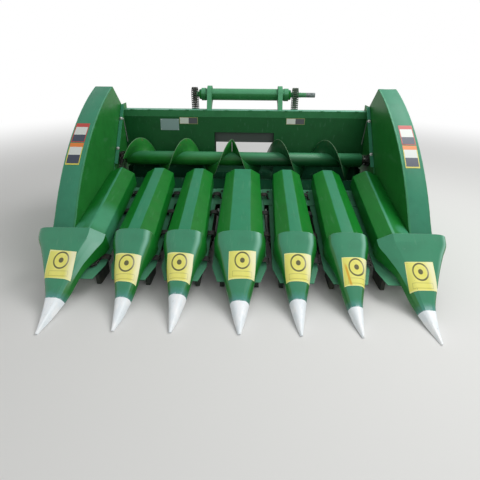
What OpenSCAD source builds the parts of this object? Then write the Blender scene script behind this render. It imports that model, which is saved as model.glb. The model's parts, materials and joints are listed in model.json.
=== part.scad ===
// Six-row maize header for a combine harvester, parked on its skids and stands.
// +Z is up, the snouts point to -Y, +X is to the right as seen from the front.

/* [Rows] */
// Distance between neighbouring rows on each half
row_pitch = 484; // [478:2:500]
// Distance between the two middle rows
middle_pitch = 572; // [560:2:590]
// Slope of the row units and hoods in degrees
unit_slope = 13; // [12:0.5:14]
// Height of the deck plane where it would meet the line of the tips
deck_rise = 69; // [66:1:74]

/* [Deck] */
// Front end of the deck plates, measured along the slope
deck_front = 485; // [480:1:500]
// Length of the taper at the front of a deck plate
deck_taper = 175; // [150:5:190]
// Rear end of the deck plates, measured along the slope
deck_rear = 1995; // [1980:5:2010]
// Width of one deck plate
deck_w = 200; // [190:2:206]
// Thickness of the deck plates
deck_t = 6; // [4:1:8]
// Width of the slot between the two deck plates of a row
slot_w = 54; // [44:2:60]
// Width of the plate that closes the rear of the slot
cover_w = 120; // [100:5:130]
// Length of the plate that closes the rear of the slot
cover_l = 330; // [280:10:360]

/* [Hoods] */
// Rear edge of the hoods along the slope
hood_rear = 2003; // [1995:2:2010]
// Height of the hood ridge above the deck
hood_ridge = 288; // [280:2:296]
// Height of the lower edge of the hoods above the deck
hood_foot = 50; // [48:1:56]
// Width of the lane between two hoods at the front
lane_front = 108; // [100:2:116]
// Width of the lane between two hoods at the rear
lane_rear = 160; // [150:2:170]
// Width of the flat ridge of an ordinary hood
ridge_w = 114; // [100:2:124]
// Width of the flat ridge of the middle hood
middle_ridge_w = 200; // [180:2:210]
// Drop of the side facets of a hood for each mm they run out sideways
facet_drop = 0.64; // [0.58:0.02:0.7]
// Thickness of the sheet of hoods, noses and trough
sheet = 4; // [3:0.5:5]

/* [Noses] */
// Rear rim of the noses along the slope
nose_rim = 846; // [840:2:854]
// Reach of a nose back over its hood
nose_lap = 8; // [6:1:10]
// Gap between the inside of a nose and the hood in it
nose_gap = 14; // [12:1:18]
// Distance of the nose pivot behind the rim
pivot_back = 150; // [140:2:170]
// Height of the nose pivot above the deck
pivot_up = 84; // [80:1:90]
// Diameter of the nose pivot
pivot_d = 25; // [20:1:30]
// Extra reach of the two outer tips
outer_reach = 60; // [40:5:80]

/* [Sides] */
// Distance from the middle of an outer row to the inside of its end plate
end_out = 371; // [361:2:385]
// Thickness of the end plates
end_t = 6; // [5:0.5:8]
// Width of a side shield
shield_w = 219; // [205:2:225]
// Thickness of the shield sheet
shield_t = 3; // [2:0.5:4]
// Side overhang of an outer nose over its shield
nose_side = 73; // [65:1:80]

/* [Auger] */
// Distance of the auger axis behind the tips
auger_y = 2277; // [2270:1:2284]
// Height of the auger axis
auger_z = 815; // [810:1:822]
// Diameter of the auger tube
auger_tube_d = 178; // [168:2:190]
// Diameter over the flights
flight_d = 514; // [500:2:520]
// Pitch of the flights
flight_pitch = 605; // [580:5:630]
// Thickness of the flights
flight_t = 5; // [4:1:7]
// Place of the crest where the two flights meet
flight_meet = -150; // [-170:5:-130]
// Clearance between flights and trough
trough_gap = 18; // [15:1:22]

/* [Frame] */
// Depth of the top beam
beam_d = 145; // [130:5:150]
// Height of the top beam
beam_h = 85; // [75:5:95]
// Height of the upper edge of the top beam
beam_top = 1377; // [1370:1:1384]
// Distance of the front of the top beam behind the tips
beam_y = 2619; // [2614:1:2624]
// Size of the square lower beams
lower_beam = 130; // [120:5:140]
// Width of the feeder opening
feeder_w = 810; // [780:10:840]
// Height of the lower edge of the feeder opening
feeder_low = 585; // [580:1:590]
// Height of the upper edge of the feeder opening
feeder_top = 1092; // [1080:2:1100]
// Depth of the feeder frame behind the wall at its top
feeder_d = 170; // [150:5:180]

/* [Drive] */
// Distance of the jackshaft axis behind the tips
jack_y = 2866; // [2862:1:2870]
// Height of the jackshaft axis
jack_z = 1556; // [1550:1:1562]
// Diameter of the jackshaft tube
jack_tube_d = 152; // [140:2:156]
// Length of the jackshaft tube
jack_tube_l = 1184; // [1160:4:1200]
// Diameter of the jackshaft
jack_d = 62; // [56:1:66]
// Reach of the free end of the jackshaft from the centre
jack_reach = 957; // [930:5:980]
// Distance of the drive sprockets from the centre
sprocket_x = 676; // [665:1:690]
// Radius of the path of a drive chain round its sprocket
chain_r = 82; // [80:0.5:84]

/* [Rolls] */
// Distance between the axes of a pair of stalk rolls
roll_gap = 100; // [96:1:104]
// Depth of the roll axes below the deck
roll_depth = 104; // [100:1:110]
// Radius over the knives of a stalk roll
roll_r = 42; // [36:1:44]
// Length of the fluted part of a stalk roll
roll_l = 620; // [560:10:640]

/* [Chains] */
// Length of one link
link = 90; // [80:2:110]
// Distance of the front wheel of a gathering chain behind the front of the deck plates
idler_back = 195; // [190:1:205]
// Distance of its rear wheel in front of the rear of the deck plates
drive_back = 120; // [110:5:130]
// Distance of the working strand of a gathering chain from the middle of the row
strand_x = 100; // [96:1:104]
// Distance between the two strands
strand_gap = 120; // [110:2:124]
// Distance from one lug to the next
lug_step = 360; // [340:5:380]
// Reach of a lug from its strand
lug_w = 92; // [84:1:92]
// Height of a lug
lug_h = 32; // [28:1:34]

/* [Hidden] */
rows = 6;
snouts = 7;
$fn = 48;
eps = 0.5;

// Running clearance of a shaft in its bore
run = 0.05;

// The outer tips are foremost, the brackets of the jackshaft rearmost
tip = [-5, -50];
bracket_r = 112;
y_mid = (case_y(tip[0] - outer_reach, tip[1]) + jack_y + bracket_r) / 2;

// Middle of row i, from 0 at the left to 5 at the right
function row_x(i) = (i - 2.5) * row_pitch + sign(i - 2.5) * (middle_pitch - row_pitch) / 2;
// Middle of the snout k, from 0 at the left to 6 at the right, and half the space it has
function snout_x(k) = (k - 3) * row_pitch + sign(k - 3) * (middle_pitch - row_pitch) / 2;
function snout_half(k) = k == 3 ? middle_pitch / 2 : row_pitch / 2;

function lerp(a, b, t) = a + (b - a) * t;
hood_front = nose_rim - nose_lap;
idler_s = deck_front + idler_back;
drive_s = deck_rear - drive_back;
function hood_t(s) = (s - hood_front) / (hood_rear - hood_front);

end_x = row_x(5) + end_out;
wall_x = end_x + end_t;
shield_x = wall_x + shield_w;
outer_nose_x = shield_x + nose_side;
pivot_s = nose_rim + pivot_back;

module part() { translate([0, -y_mid, 0]) children(); }
// Frame of the row units: x across, y along the slope, z square to the deck
module slope() { part() translate([0, 0, deck_rise]) rotate([unit_slope, 0, 0]) children(); }
// Outline in (y, z), extruded along x
module across(x0, x1) { translate([x0, 0, 0]) rotate([90, 0, 90]) linear_extrude(x1 - x0) children(); }
// Outline in (x, z), extruded along y from y0 to y1
module along(y0, y1) { translate([0, y1, 0]) rotate([90, 0, 0]) linear_extrude(y1 - y0) children(); }
module rod(x0, x1, r) { translate([x0, 0, 0]) rotate([0, 90, 0]) cylinder(r = r, h = x1 - x0); }
module both() { children(); mirror([1, 0, 0]) children(); }

// Solid through rings of equal length. A shell ring runs out over the outside and back inside.
module loft(rings, shell = false) {
    m = len(rings[0]);
    last = (len(rings) - 1) * m;
    cap = shell
        ? [for (i = [0:m / 2 - 2]) each [[i, i + 1, m - 2 - i], [i, m - 2 - i, m - 1 - i]]]
        : [for (i = [1:m - 2]) [0, i, i + 1]];
    polyhedron(
        points = [for (r = rings) each r],
        faces = concat(
            cap,
            [for (f = cap) [last + f[0], last + f[2], last + f[1]]],
            [for (k = [0:m:last - m]) for (i = [0:m - 1])
                let (j = (i + 1) % m)
                each shell && i >= m / 2
                    ? [[k + i, k + m + i, k + m + j], [k + i, k + m + j, k + j]]
                    : [[k + i, k + m + i, k + j], [k + j, k + m + i, k + m + j]]]
        )
    );
}
// Ring in a plane square to the slope
function at(s, pts) = [for (p = pts) [p[0], s, p[1]]];
function turned(pts) = [for (i = [len(pts) - 1:-1:0]) pts[i]];

// Hood outline from the left foot over the ridge to the right foot
function hood_xs(k, t) =
    let (lane = lerp(lane_front, lane_rear, t) / 2)
    let (w = snout_half(k) - lane)
    let (r = (k == 3 ? middle_ridge_w : ridge_w) / 2)
    let (c = snout_x(k))
    let (rid = end_x - lerp(outer_ridge_front, outer_ridge_rear, t))
    k == 6 ? [row_x(5) + lane, row_x(5) + lane, rid - outer_ridge_w, rid, wall_x, wall_x]
    : k == 0 ? [for (x = turned(hood_xs(6, t))) -x]
    : [c - w, c - w, c - r, c + r, c + w, c + w];
function hood_zs(k, t) =
    let (x = hood_xs(k, t))
    let (lo = hood_ridge - facet_drop * (x[2] - x[0]))
    let (hi = hood_ridge - facet_drop * (x[5] - x[3]))
    k == 6 ? [hood_foot, lo, hood_ridge, hood_ridge, hood_ridge - outer_drop, hood_foot]
    : k == 0 ? turned(hood_zs(6, t))
    : [hood_foot, lo, hood_ridge, hood_ridge, hi, hood_foot];
outer_ridge_front = 177;
outer_ridge_rear = 138;
outer_ridge_w = 24;
outer_drop = 66;

function hood_outer(k, t) = let (x = hood_xs(k, t), z = hood_zs(k, t)) [for (i = [0:5]) [x[i], z[i]]];
function hood_inner(k, t) =
    let (x = hood_xs(k, t), z = hood_zs(k, t), m = [1, 1, 0.3, -0.3, -1, -1])
    [for (i = [0:5]) [x[i] + m[i] * sheet, z[i] - (i == 0 || i == 5 ? 0 : sheet)]];
function hood_ring(k, t) = concat(hood_outer(k, t), turned(hood_inner(k, t)));

module hood(k) {
    if (k == 0) mirror([1, 0, 0]) hood(6);
    else color("forestgreen") slope() {
        loft([at(hood_front, hood_ring(k, 0)), at(hood_rear, hood_ring(k, 1))], shell = true);
        along(hood_rear - sheet, hood_rear) polygon(hood_outer(k, 1));
        // pivot rod of the nose, from wall to wall
        t = hood_t(pivot_s);
        xs = hood_xs(k, t);
        translate([0, pivot_s, pivot_up]) rod(xs[0] + sheet / 2, xs[5] - sheet / 2, pivot_d / 2);
    }
}

// Upright plates that carry the hoods on the deck plates, beside the gathering chains
bracket_s = [1100, 1850];
bracket_t = 8;
bracket_foot = [-125, -40];
bracket_head = 50;
bracket_web = 130;
module hood_brackets() {
    top = hood_ridge - sheet;
    color("darkgreen") slope() for (k = [1:5]) for (s = bracket_s) translate([snout_x(k), 0, 0])
        along(s, s + bracket_t) polygon([[bracket_foot[0], 0], [bracket_foot[1], 0],
            [bracket_foot[1], top - bracket_web], [bracket_head, top - bracket_web], [bracket_head, top],
            [-bracket_head, top], [bracket_foot[0], top + bracket_foot[0] + bracket_head]]);
}

// Arch of half width 1 and height 1, from the left foot to the right foot; a low e squares its shoulders
arch_n = 14;
function arch(e) =
    [for (i = [0:arch_n])
        let (a = 180 * i / arch_n, c = cos(a))
        [-sign(c) * pow(abs(c), e), pow(sin(a), e)]];

// Over the length of a nose: share of the length, top above the deck, share of the rim width, roundness
nose_profile = [
    [0, tip[1], 0.05, 0.9],
    [0.155, -26, 0.19, 0.85],
    [0.32, 4, 0.325, 0.8],
    [0.47, 63, 0.47, 0.74],
    [0.64, 138, 0.64, 0.68],
    [0.82, 219, 0.85, 0.6],
    [0.93, 272, 0.985, 0.55],
    [1, hood_ridge + nose_gap + sheet, 1, 0.54]
];
function nose_value(s, column) = lookup(s / nose_rim, [for (p = nose_profile) [p[0], p[column]]]);
// The lower edge clears the lugs and the front wheel of the chain, and falls in one line to the solid tip
lug_n = 12;
nose_clear = lug_n + lug_h + 6;
wheel_front = idler_s - strand_gap / 2 - 35;
nose_from = nose_rim * 0.32;
nose_belly = [[tip[0], -66], [nose_rim * 0.155, -84], [nose_from, -76], [wheel_front, nose_clear],
    [nose_rim, nose_clear + 2]];
nose_places = [nose_rim, nose_rim * 0.93, nose_rim * 0.82, wheel_front, nose_rim * 0.64, nose_rim * 0.47,
    nose_from];
cap_places = [nose_from, nose_rim * 0.155, tip[0]];

// Left and right reach of the rim of nose k
nose_out = nose_gap + sheet;
function rim_xs(k) =
    let (h = hood_xs(k, 0))
    [h[0] - nose_out, k == 6 ? outer_nose_x : h[5] + nose_out];
// Rim of the right outer nose in the same units as the arch: wall, facet, flat top, outer wall
function outer_rim() =
    let (h = hood_outer(6, 0), r = rim_xs(6), c = sqrt(1 + pow(facet_drop, 2)))
    let (foot = [r[0], hood_foot])
    let (knee = [r[0], h[1][1] + (c - facet_drop) * nose_out])
    let (ridge = [h[2][0] - (c - 1) / facet_drop * nose_out, hood_ridge + nose_out])
    let (side = [for (j = [0:7]) let (a = 90 * j / 7)
        [lerp(ridge[0], r[1], pow(sin(a), 0.3)), lerp(foot[1], ridge[1], pow(cos(a), 0.3))]])
    let (wall = [for (j = [0:2]) lerp(foot, knee, j / 3)], facet = [for (j = [0:3]) lerp(knee, ridge, j / 4)])
    [for (p = concat(wall, facet, side))
        [(p[0] - (r[0] + r[1]) / 2) / (r[1] - r[0]) * 2, (p[1] - foot[1]) / (ridge[1] - foot[1])]];
// Front of the right outer nose in the same units: one crease parts the inner wall from the top
outer_crease = [-0.62, 0.8];
outer_front = [for (j = [0:arch_n])
    j < 5 ? [lerp(-1, outer_crease[0], pow(j / 5, 1.4)), outer_crease[1] * j / 5]
    : j < 7 ? lerp(outer_crease, [-0.3, 1], (j - 5) / 2)
    : let (a = 90 * (j - 7) / 7) [lerp(-0.3, 1, pow(sin(a), 0.45)), pow(cos(a), 0.45)]];
// Sideways lean of each tip
nose_lean = [0, 0, -14, 20, -8, 0, 0];
function nose_x(k, s) =
    let (r = rim_xs(k), share = nose_value(s, 2))
    let (c = (r[0] + r[1]) / 2 + nose_lean[k] * (nose_rim - s) / nose_rim)
    let (w = (r[1] - r[0]) / 2 * pow(share, k == 6 ? 1.2 : 1))
    [c - w, c + w];
function nose_ring(k, s, reach, inset) =
    let (x = nose_x(k, s), zb = lookup(s, nose_belly) + (s == tip[0] ? 0.23 * reach : 0))
    let (zt = nose_value(s, 1) - inset)
    let (w = (x[1] - x[0]) / 2 - inset, edge = pow(nose_value(s, 2), 1.2))
    let (unit = k == 6 ? lerp(outer_front, outer_rim(), edge) : arch(nose_value(s, 3)))
    at(s == tip[0] ? s - reach : s, [for (q = unit) [(x[0] + x[1]) / 2 + w * q[0], zb + (zt - zb) * q[1]]]);

// Cross bar inside a nose, and the two arms back to its pivot
cross_s = 676;
cross_n = [52, 120];
arm_w = 44;
arm_t = 10;
arm_in = 72;
module nose(k) {
    reach = k == 6 ? outer_reach : 0;
    hx = hood_xs(k, 0);
    mid = (hx[0] + hx[5]) / 2;
    arm = (hx[5] - hx[0]) / 2 - arm_in;
    x = nose_x(k, cross_s);
    if (k == 0) mirror([1, 0, 0]) nose(6);
    else color("forestgreen") slope() {
        loft([for (p = turned(nose_places)) concat(nose_ring(k, p, 0, 0), turned(nose_ring(k, p, 0, sheet)))],
            shell = true);
        loft([for (p = turned(cap_places)) nose_ring(k, p, reach, 0)]);
        translate([x[0] + sheet / 2, cross_s - 4, cross_n[0]])
            cube([x[1] - x[0] - sheet, 8, cross_n[1] - cross_n[0]]);
        for (s = [-1, 1]) difference() {
            union() {
                translate([mid + s * arm - arm_t / 2, cross_s, pivot_up - arm_w / 2])
                    cube([arm_t, pivot_s - cross_s, arm_w]);
                translate([mid, pivot_s, pivot_up]) rod(s * arm - arm_t / 2, s * arm + arm_t / 2, arm_w / 2);
            }
            translate([mid, pivot_s, pivot_up]) rod(s * arm - arm_t, s * arm + arm_t, pivot_d / 2 + run);
        }
    }
}

// Row unit: gear case, side arms, front bearings, rear mount and skid
case_l = 200;
case_w = 250;
case_h = 175;
arm_x = 118;
arm_plate = 8;
arm_deep = 150;
arm_front = idler_s - 70;
arm_nose = 60;
skid_s = 620;
skid_l = 240;
skid_t = 110;
bearing_l = 30;
bearing_r = 22;
skid_y = case_y(skid_s, 0);
module row_frame(i) {
    x = row_x(i);
    rear = deck_rear - 5;
    front = rear - case_l;
    color("dimgray") {
        slope() translate([x, 0, 0]) difference() {
            union() {
                across(-case_w / 2, case_w / 2) translate([0, -deck_t]) polygon([[front, 0], [rear, 0],
                    [rear, 30 - case_h], [rear - 30, -case_h], [front + 45, -case_h], [front, 30 - case_h]]);
                translate([0, cross_shaft_s, -cross_shaft_n]) rod(-case_w / 2 - 12, case_w / 2 + 12, 48);
                for (s = [-1, 1]) {
                    across(s * arm_x - arm_plate / 2, s * arm_x + arm_plate / 2) polygon([
                        [arm_front, -deck_t], [front + eps, -deck_t], [front + eps, -deck_t - arm_deep],
                        [roll_front - 20, -deck_t - arm_deep], [skid_s, -deck_t - skid_t],
                        [arm_front, -deck_t - arm_nose]]);
                    // front bearing of the stalk roll
                    bx = s > 0 ? roll_gap / 2 - bearing_r : -arm_x;
                    translate([bx, roll_front - bearing_l - 10, -roll_depth - bearing_r])
                        cube([arm_x - roll_gap / 2 + bearing_r, bearing_l, 2 * bearing_r]);
                }
            }
            for (s = [-1, 1]) translate([s * roll_gap / 2, 0, -roll_depth]) {
                rotate([-90, 0, 0]) cylinder(r = journal_r + run, h = roll_front);
                translate([0, front - eps, 0]) rotate([-90, 0, 0])
                    cylinder(r = shaft_r + run, h = shaft_in + 2 * eps);
            }
            translate([0, cross_shaft_s, -cross_shaft_n]) rod(-case_w, case_w, shaft_r + run);
        }
        part() translate([x, 0, 0]) {
            // mount on the tool bar
            across(-70, 70) polygon([placed(rear - 30, -60), [toolbar_y, toolbar_z + lower_beam - 10],
                [toolbar_y, toolbar_z + 10], placed(rear - 30, -150)]);
            for (s = [-1, 1]) across(s * arm_x - 20, s * arm_x + 20) polygon([placed(skid_s, -90),
                [skid_y + 20, 8], [skid_y + 60, 0], [skid_y + skid_l, 0], placed(skid_s + skid_l, -130)]);
        }
    }
}
// From the frame of the row units to the frame of the part
function case_y(s, n) = s * cos(unit_slope) - n * sin(unit_slope);
function case_z(s, n) = deck_rise + s * sin(unit_slope) + n * cos(unit_slope);

function placed(s, n) = [case_y(s, n), case_z(s, n)];

journal_r = 15;
shaft_r = 20;
shaft_in = 60;
roll_rear = deck_rear - 5 - case_l - 12;
roll_front = roll_rear - roll_l;
cross_shaft_s = deck_rear - 70;
cross_shaft_n = 120;

// Width of the tapered part of a deck plate
deck_nose = 62;
module deck_plates() {
    color("darkgreen") slope() for (i = [0:rows - 1]) translate([row_x(i), 0, 0]) {
        both() translate([slot_w / 2, 0, -deck_t]) linear_extrude(deck_t)
            polygon([[0, deck_front + deck_taper], [deck_nose, deck_front], [deck_w, deck_front],
                [deck_w, deck_rear], [0, deck_rear]]);
    }
}
// Plate that closes the rear of each slot
module slot_covers() {
    color("green") slope() for (i = [0:rows - 1]) difference() {
        translate([row_x(i) - cover_left, deck_rear - cover_l, 0]) cube([cover_w, cover_l, 5]);
        for (s = [60, 210]) translate([row_x(i) + cover_w / 2 - cover_left, deck_rear - s, -1])
            cylinder(r = 11, h = 10);
    }
}
cover_left = 32;

// Gathering chain of row i: one closed loop with its lugs, sprocket and idler
chain_h = 22;
chain_n = lug_n + 2;
module lug() {
    h = lug_h;
    w = lug_w;
    along(-5, 5) polygon([[0, 0], [0, h * 0.6], [w * 0.15, h], [w * 0.85, h], [w, h * 0.6], [w, 0],
        [w * 0.82, 0], [w * 0.72, h * 0.55], [w * 0.28, h * 0.55], [w * 0.18, 0]]);
}
lug_first = idler_s + 60;
lug_count = floor((drive_s - lug_first) / lug_step) + 1;
module gathering_chain(i) {
    r = strand_gap / 2;
    color("dimgray") slope() translate([row_x(i) - strand_x - r, 0, 0]) {
        translate([0, idler_s, chain_n]) rotate(90) linear_extrude(chain_h)
            chain_band(r, drive_s - idler_s, chain_w);
        for (s = [idler_s, drive_s]) {
            translate([0, s, chain_n + 6]) cylinder(r = r - chain_w / 2 + eps, h = chain_h - 12);
            translate([0, s, 0]) cylinder(r = 24, h = chain_n + chain_h + 4);
        }
        for (j = [0:lug_count - 1]) translate([r, lug_first + j * lug_step, lug_n]) lug();
        for (j = [0:lug_count - 2]) translate([-r, lug_first + (j + 0.5) * lug_step, lug_n])
            mirror([1, 0, 0]) scale(0.55) lug();
    }
}

// Stalk roll: shaft, core with knives and a pointed front
knife_h = 12;
knife_t = 6;
roll_tip = 186;
roll_neck = 46;
module roll(i, side) {
    color("silver") slope() translate([row_x(i) + side * roll_gap / 2, roll_front, -roll_depth]) {
        rotate([-90, 0, 0]) {
            linear_extrude(roll_l) {
                circle(r = roll_r - knife_h);
                for (a = [0:60:300]) rotate(a) translate([-knife_t / 2, 0]) square([knife_t, roll_r]);
            }
            translate([0, 0, roll_l - eps]) cylinder(r = shaft_r, h = 12 + shaft_in - 5);
            rotate_extrude() polygon([[0, -roll_tip], [knife_t, -roll_tip], [roll_r - knife_h, -roll_neck],
                [journal_r, -roll_neck], [journal_r, eps], [0, eps]]);
        }
    }
}

// Auger: tube, two flights that meet in the middle, stub shafts
auger_reach = end_x - 108;
auger_shaft_r = 25;
coupling_r = 62;
side_chain_r = 76;
chain_w = 16;
chain_t = 24;
sprocket_t = 18;
// Radius of a wheel inside its chain
function wheel_r(r) = r - chain_w / 2 - chain_play;
chain_play = 0.5;
auger_chain_x = auger_reach + 60;
cross_shaft_at = placed(cross_shaft_s, -cross_shaft_n);
rear_shaft_z = 560;
rear_shaft_at = [jack_y, rear_shaft_z];
module wheel(x, r) { rod(x - sprocket_t / 2, x + sprocket_t / 2, wheel_r(r)); }
flight_steps = 18;
function flight_ring(x, a, t) =
    let (ri = auger_tube_d / 2 - 3, ro = flight_d / 2, c = cos(a), s = sin(a))
    [[x - t, -s * ri, c * ri], [x - t, -s * ro, c * ro], [x + t, -s * ro, c * ro], [x + t, -s * ri, c * ri]];
module flight(side) {
    reach = auger_reach - 20 - side * flight_meet;
    n = floor(reach / flight_pitch * flight_steps);
    mirror([side < 0 ? 1 : 0, 0, 0]) loft([for (j = [n:-1:0]) flight_ring(
        side * flight_meet + 4 + j * flight_pitch / flight_steps, j * 360 / flight_steps, flight_t / 2)]);
}
module auger() {
    color("forestgreen") part() translate([0, auger_y, auger_z]) {
        rod(-auger_reach, auger_reach, auger_tube_d / 2);
        rod(-end_x - 64, end_x + 64, auger_shaft_r);
        flight(1);
        flight(-1);
        wheel(-auger_chain_x, side_chain_r);
        // couplings at both ends, the right one with its bolts
        both() rod(auger_reach, auger_reach + 26, coupling_r);
        rod(end_x - 60, end_x - 44, coupling_r);
        for (a = [45:90:315]) rotate([a, 0, 0]) translate([0, coupling_r - 14, 0])
            rod(auger_reach, end_x - 38, 8);
    }
}
bearing_plate = 22;
bearing_plate_r = 75;
bearing_out = 31;
bearing_boss_r = 40;
module auger_bearings() {
    color("gray") part() translate([0, auger_y, auger_z]) both() difference() {
        union() {
            rod(end_x - bearing_plate, end_x, bearing_plate_r);
            rod(end_x - bearing_out, end_x, bearing_boss_r);
        }
        rod(end_x - 2 * bearing_out, end_x + end_t, auger_shaft_r + run);
    }
}
// Point of a chain's path round two wheels of radius r, l apart, and the way out of the loop there
function path_length(r, l) = 2 * l + 2 * PI * r;
function path_at(d, r, l) =
    d < l ? [[d, r], [0, 1]]
    : d < l + PI * r ? let (a = 90 - (d - l) / r * 180 / PI) [[l, 0] + r * [cos(a), sin(a)], [cos(a), sin(a)]]
    : d < 2 * l + PI * r ? [[2 * l + PI * r - d, -r], [0, -1]]
    : let (a = 270 - (d - 2 * l - PI * r) / r * 180 / PI) [r * [cos(a), sin(a)], [cos(a), sin(a)]];
// Chain of width w: inside it follows the wheels, outside each link swells in its middle
module chain_band(r, l, w) {
    n = round(path_length(r, l) / link);
    step = path_length(r, l) / n;
    difference() {
        polygon([for (i = [0:n - 1]) for (q = [[0, 0.3], [0.5, 0.5]])
            let (p = path_at((i + q[0]) * step, r, l))
            p[0] + w * q[1] * p[1]]);
        circle(r = r - w / 2);
        translate([l, 0]) circle(r = r - w / 2);
        translate([0, w / 2 - r]) square([l, 2 * r - w]);
    }
}
// The same between two points of the (y, z) plane
module chain_between(a, b, r, w) {
    translate(a) rotate(atan2(b[1] - a[1], b[0] - a[0])) chain_band(r, norm(b - a), w);
}
module auger_chain() {
    color("dimgray") part() across(-auger_chain_x - chain_t / 2, -auger_chain_x + chain_t / 2)
        chain_between([auger_y, auger_z], cross_shaft_at, side_chain_r, chain_w);
}

// Trough round the auger with the apron up from the deck plates
trough_r = flight_d / 2 + trough_gap;
trough_x = auger_reach + 20;
lip_z = 602;
lip_y = auger_y - sqrt(pow(trough_r, 2) - pow(auger_z - lip_z, 2));
module feeder_cut(y0, y1) {
    translate([-feeder_w / 2, y0, feeder_low]) cube([feeder_w, y1 - y0, feeder_top - feeder_low]);
}
module trough() {
    color("darkgreen") part() {
        // end walls up to the apron's lip, below the couplings
        both() across(trough_x - sheet, trough_x) difference() {
            translate([auger_y, auger_z]) circle(r = trough_r + eps, $fn = 96);
            translate([auger_y - trough_r * 2, auger_z - coupling_r * 2]) square(trough_r * 4);
            translate([auger_y - trough_r * 2, lip_z]) square([trough_r * 2, trough_r]);
        }
        difference() {
            across(-trough_x, trough_x) {
                difference() {
                    translate([auger_y, auger_z]) circle(r = trough_r + sheet, $fn = 96);
                    translate([auger_y, auger_z]) circle(r = trough_r, $fn = 96);
                    translate([auger_y - trough_r * 2, auger_z]) square(trough_r * 4);
                    translate([auger_y - trough_r * 2, lip_z]) square([trough_r * 2, trough_r]);
                }
                // apron from the deck to the lip
                polygon([placed(deck_rear, 0), placed(deck_rear, -sheet), [lip_y, lip_z - 10],
                    [lip_y + sheet, lip_z]]);
            }
            feeder_cut(auger_y, beam_y + 10);
        }
    }
}

// Back wall from the trough up to the top beam
wall_y = auger_y + trough_r;
module back_wall() {
    color("darkgreen") part() difference() {
        across(-end_x, end_x) polygon([[wall_y, auger_z], [wall_y + sheet, auger_z],
            [beam_y + sheet, beam_top - beam_h], [beam_y, beam_top - beam_h]]);
        feeder_cut(auger_y, beam_y + 10);
    }
}
module top_beam() {
    color("forestgreen") part() across(-end_x, end_x)
        translate([beam_y, beam_top - beam_h]) square([beam_d, beam_h]);
}

// Lower frame: tool bar that carries the row units, rear beam, ties and uprights
toolbar_y = 2010;
toolbar_z = 335;
// The tool bar ends short of the auger chain
toolbar_left = -auger_chain_x + chain_t / 2 + 10;
rear_beam_y = beam_y + beam_d - lower_beam;
post_w = 70;
flange_out = 50;
post_x = feeder_w / 2 + flange_out + 10 + post_w / 2;
tie_x = [-end_x + 125, -post_x, post_x, end_x - 125];
tie_w = 60;
tie_h = 90;
stand_x = end_x - 525;
stand_w = 56;
stand_foot = 160;
stand_foot_t = 10;
module main_frame() {
    color("darkgreen") part() {
        across(toolbar_left, end_x) translate([toolbar_y, toolbar_z]) square(lower_beam);
        across(-end_x, end_x) translate([rear_beam_y, toolbar_z]) square(lower_beam);
        for (x = tie_x) {
            across(x - tie_w / 2, x + tie_w / 2) translate([toolbar_y, toolbar_z + (lower_beam - tie_h) / 2])
                square([rear_beam_y - toolbar_y + 10, tie_h]);
            across(x - post_w / 2, x + post_w / 2)
                translate([beam_y + beam_d - tie_w, toolbar_z + lower_beam - eps])
                square([tie_w, beam_top - beam_h - toolbar_z - lower_beam + eps]);
        }
        // parking stands
        for (s = [-1, 1]) translate([s * stand_x, rear_beam_y + lower_beam / 2, 0]) {
            translate([-stand_w / 2, -stand_w / 2, eps]) cube([stand_w, stand_w, toolbar_z]);
            translate([-stand_foot / 2, -stand_foot / 2, 0]) cube([stand_foot, stand_foot, stand_foot_t]);
        }
    }
}

// End plate with its front flange
flange_w = 42;
plate_toe = [1946, 560];
flange_low = [2060, 795];
flange_top = [2566, 1448];
flange_h = 8;
shaft_hole = 36;
module end_plate() {
    across(end_x, end_x + end_t) difference() {
        polygon([plate_toe, flange_low, flange_top, [beam_y + beam_d, flange_top[1]],
            [beam_y + beam_d, toolbar_z], [toolbar_y - post_w, toolbar_z]]);
        translate([auger_y, auger_z]) circle(r = shaft_hole);
    }
    across(end_x - flange_w, end_x + eps)
        polygon([flange_low, flange_top, flange_top - [flange_h, 0], flange_low - [flange_h, 0]]);
}
module end_plate_left() { color("forestgreen") part() mirror([1, 0, 0]) end_plate(); }
module end_plate_right() { color("forestgreen") part() end_plate(); }

// Side shield: a hollow crescent, its front one arc
shield_top = [2374, 1684];
shield_mid = [1570, 1245];
shield_low = [941, 580];
shield_toe = [725, 320];
shield_bottom = [1850, 285];
// Rear edge of a shield from the bottom up, and the corner in front of its toe
shield_heel = [2965, 440];
shield_back = [[2965, 700], [2740, 790], [2660, 1380]];
shield_chin = shield_toe + [40, -70];
function circle3(a, b, c) =
    let (d = 2 * (a[0] * (b[1] - c[1]) + b[0] * (c[1] - a[1]) + c[0] * (a[1] - b[1])))
    let (a2 = a * a, b2 = b * b, c2 = c * c)
    [(a2 * (b[1] - c[1]) + b2 * (c[1] - a[1]) + c2 * (a[1] - b[1])) / d,
     (a2 * (c[0] - b[0]) + b2 * (a[0] - c[0]) + c2 * (b[0] - a[0])) / d];
shield_c = circle3(shield_top, shield_mid, shield_low);
shield_r = norm(shield_top - shield_c);
function shield_arc(r) =
    let (a0 = atan2(shield_top[1] - shield_c[1], shield_top[0] - shield_c[0]))
    let (a1 = atan2(shield_low[1] - shield_c[1], shield_low[0] - shield_c[0]))
    [for (i = [0:12]) let (a = lerp(a0, a1, i / 12)) shield_c + r * [cos(a), sin(a)]];
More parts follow.
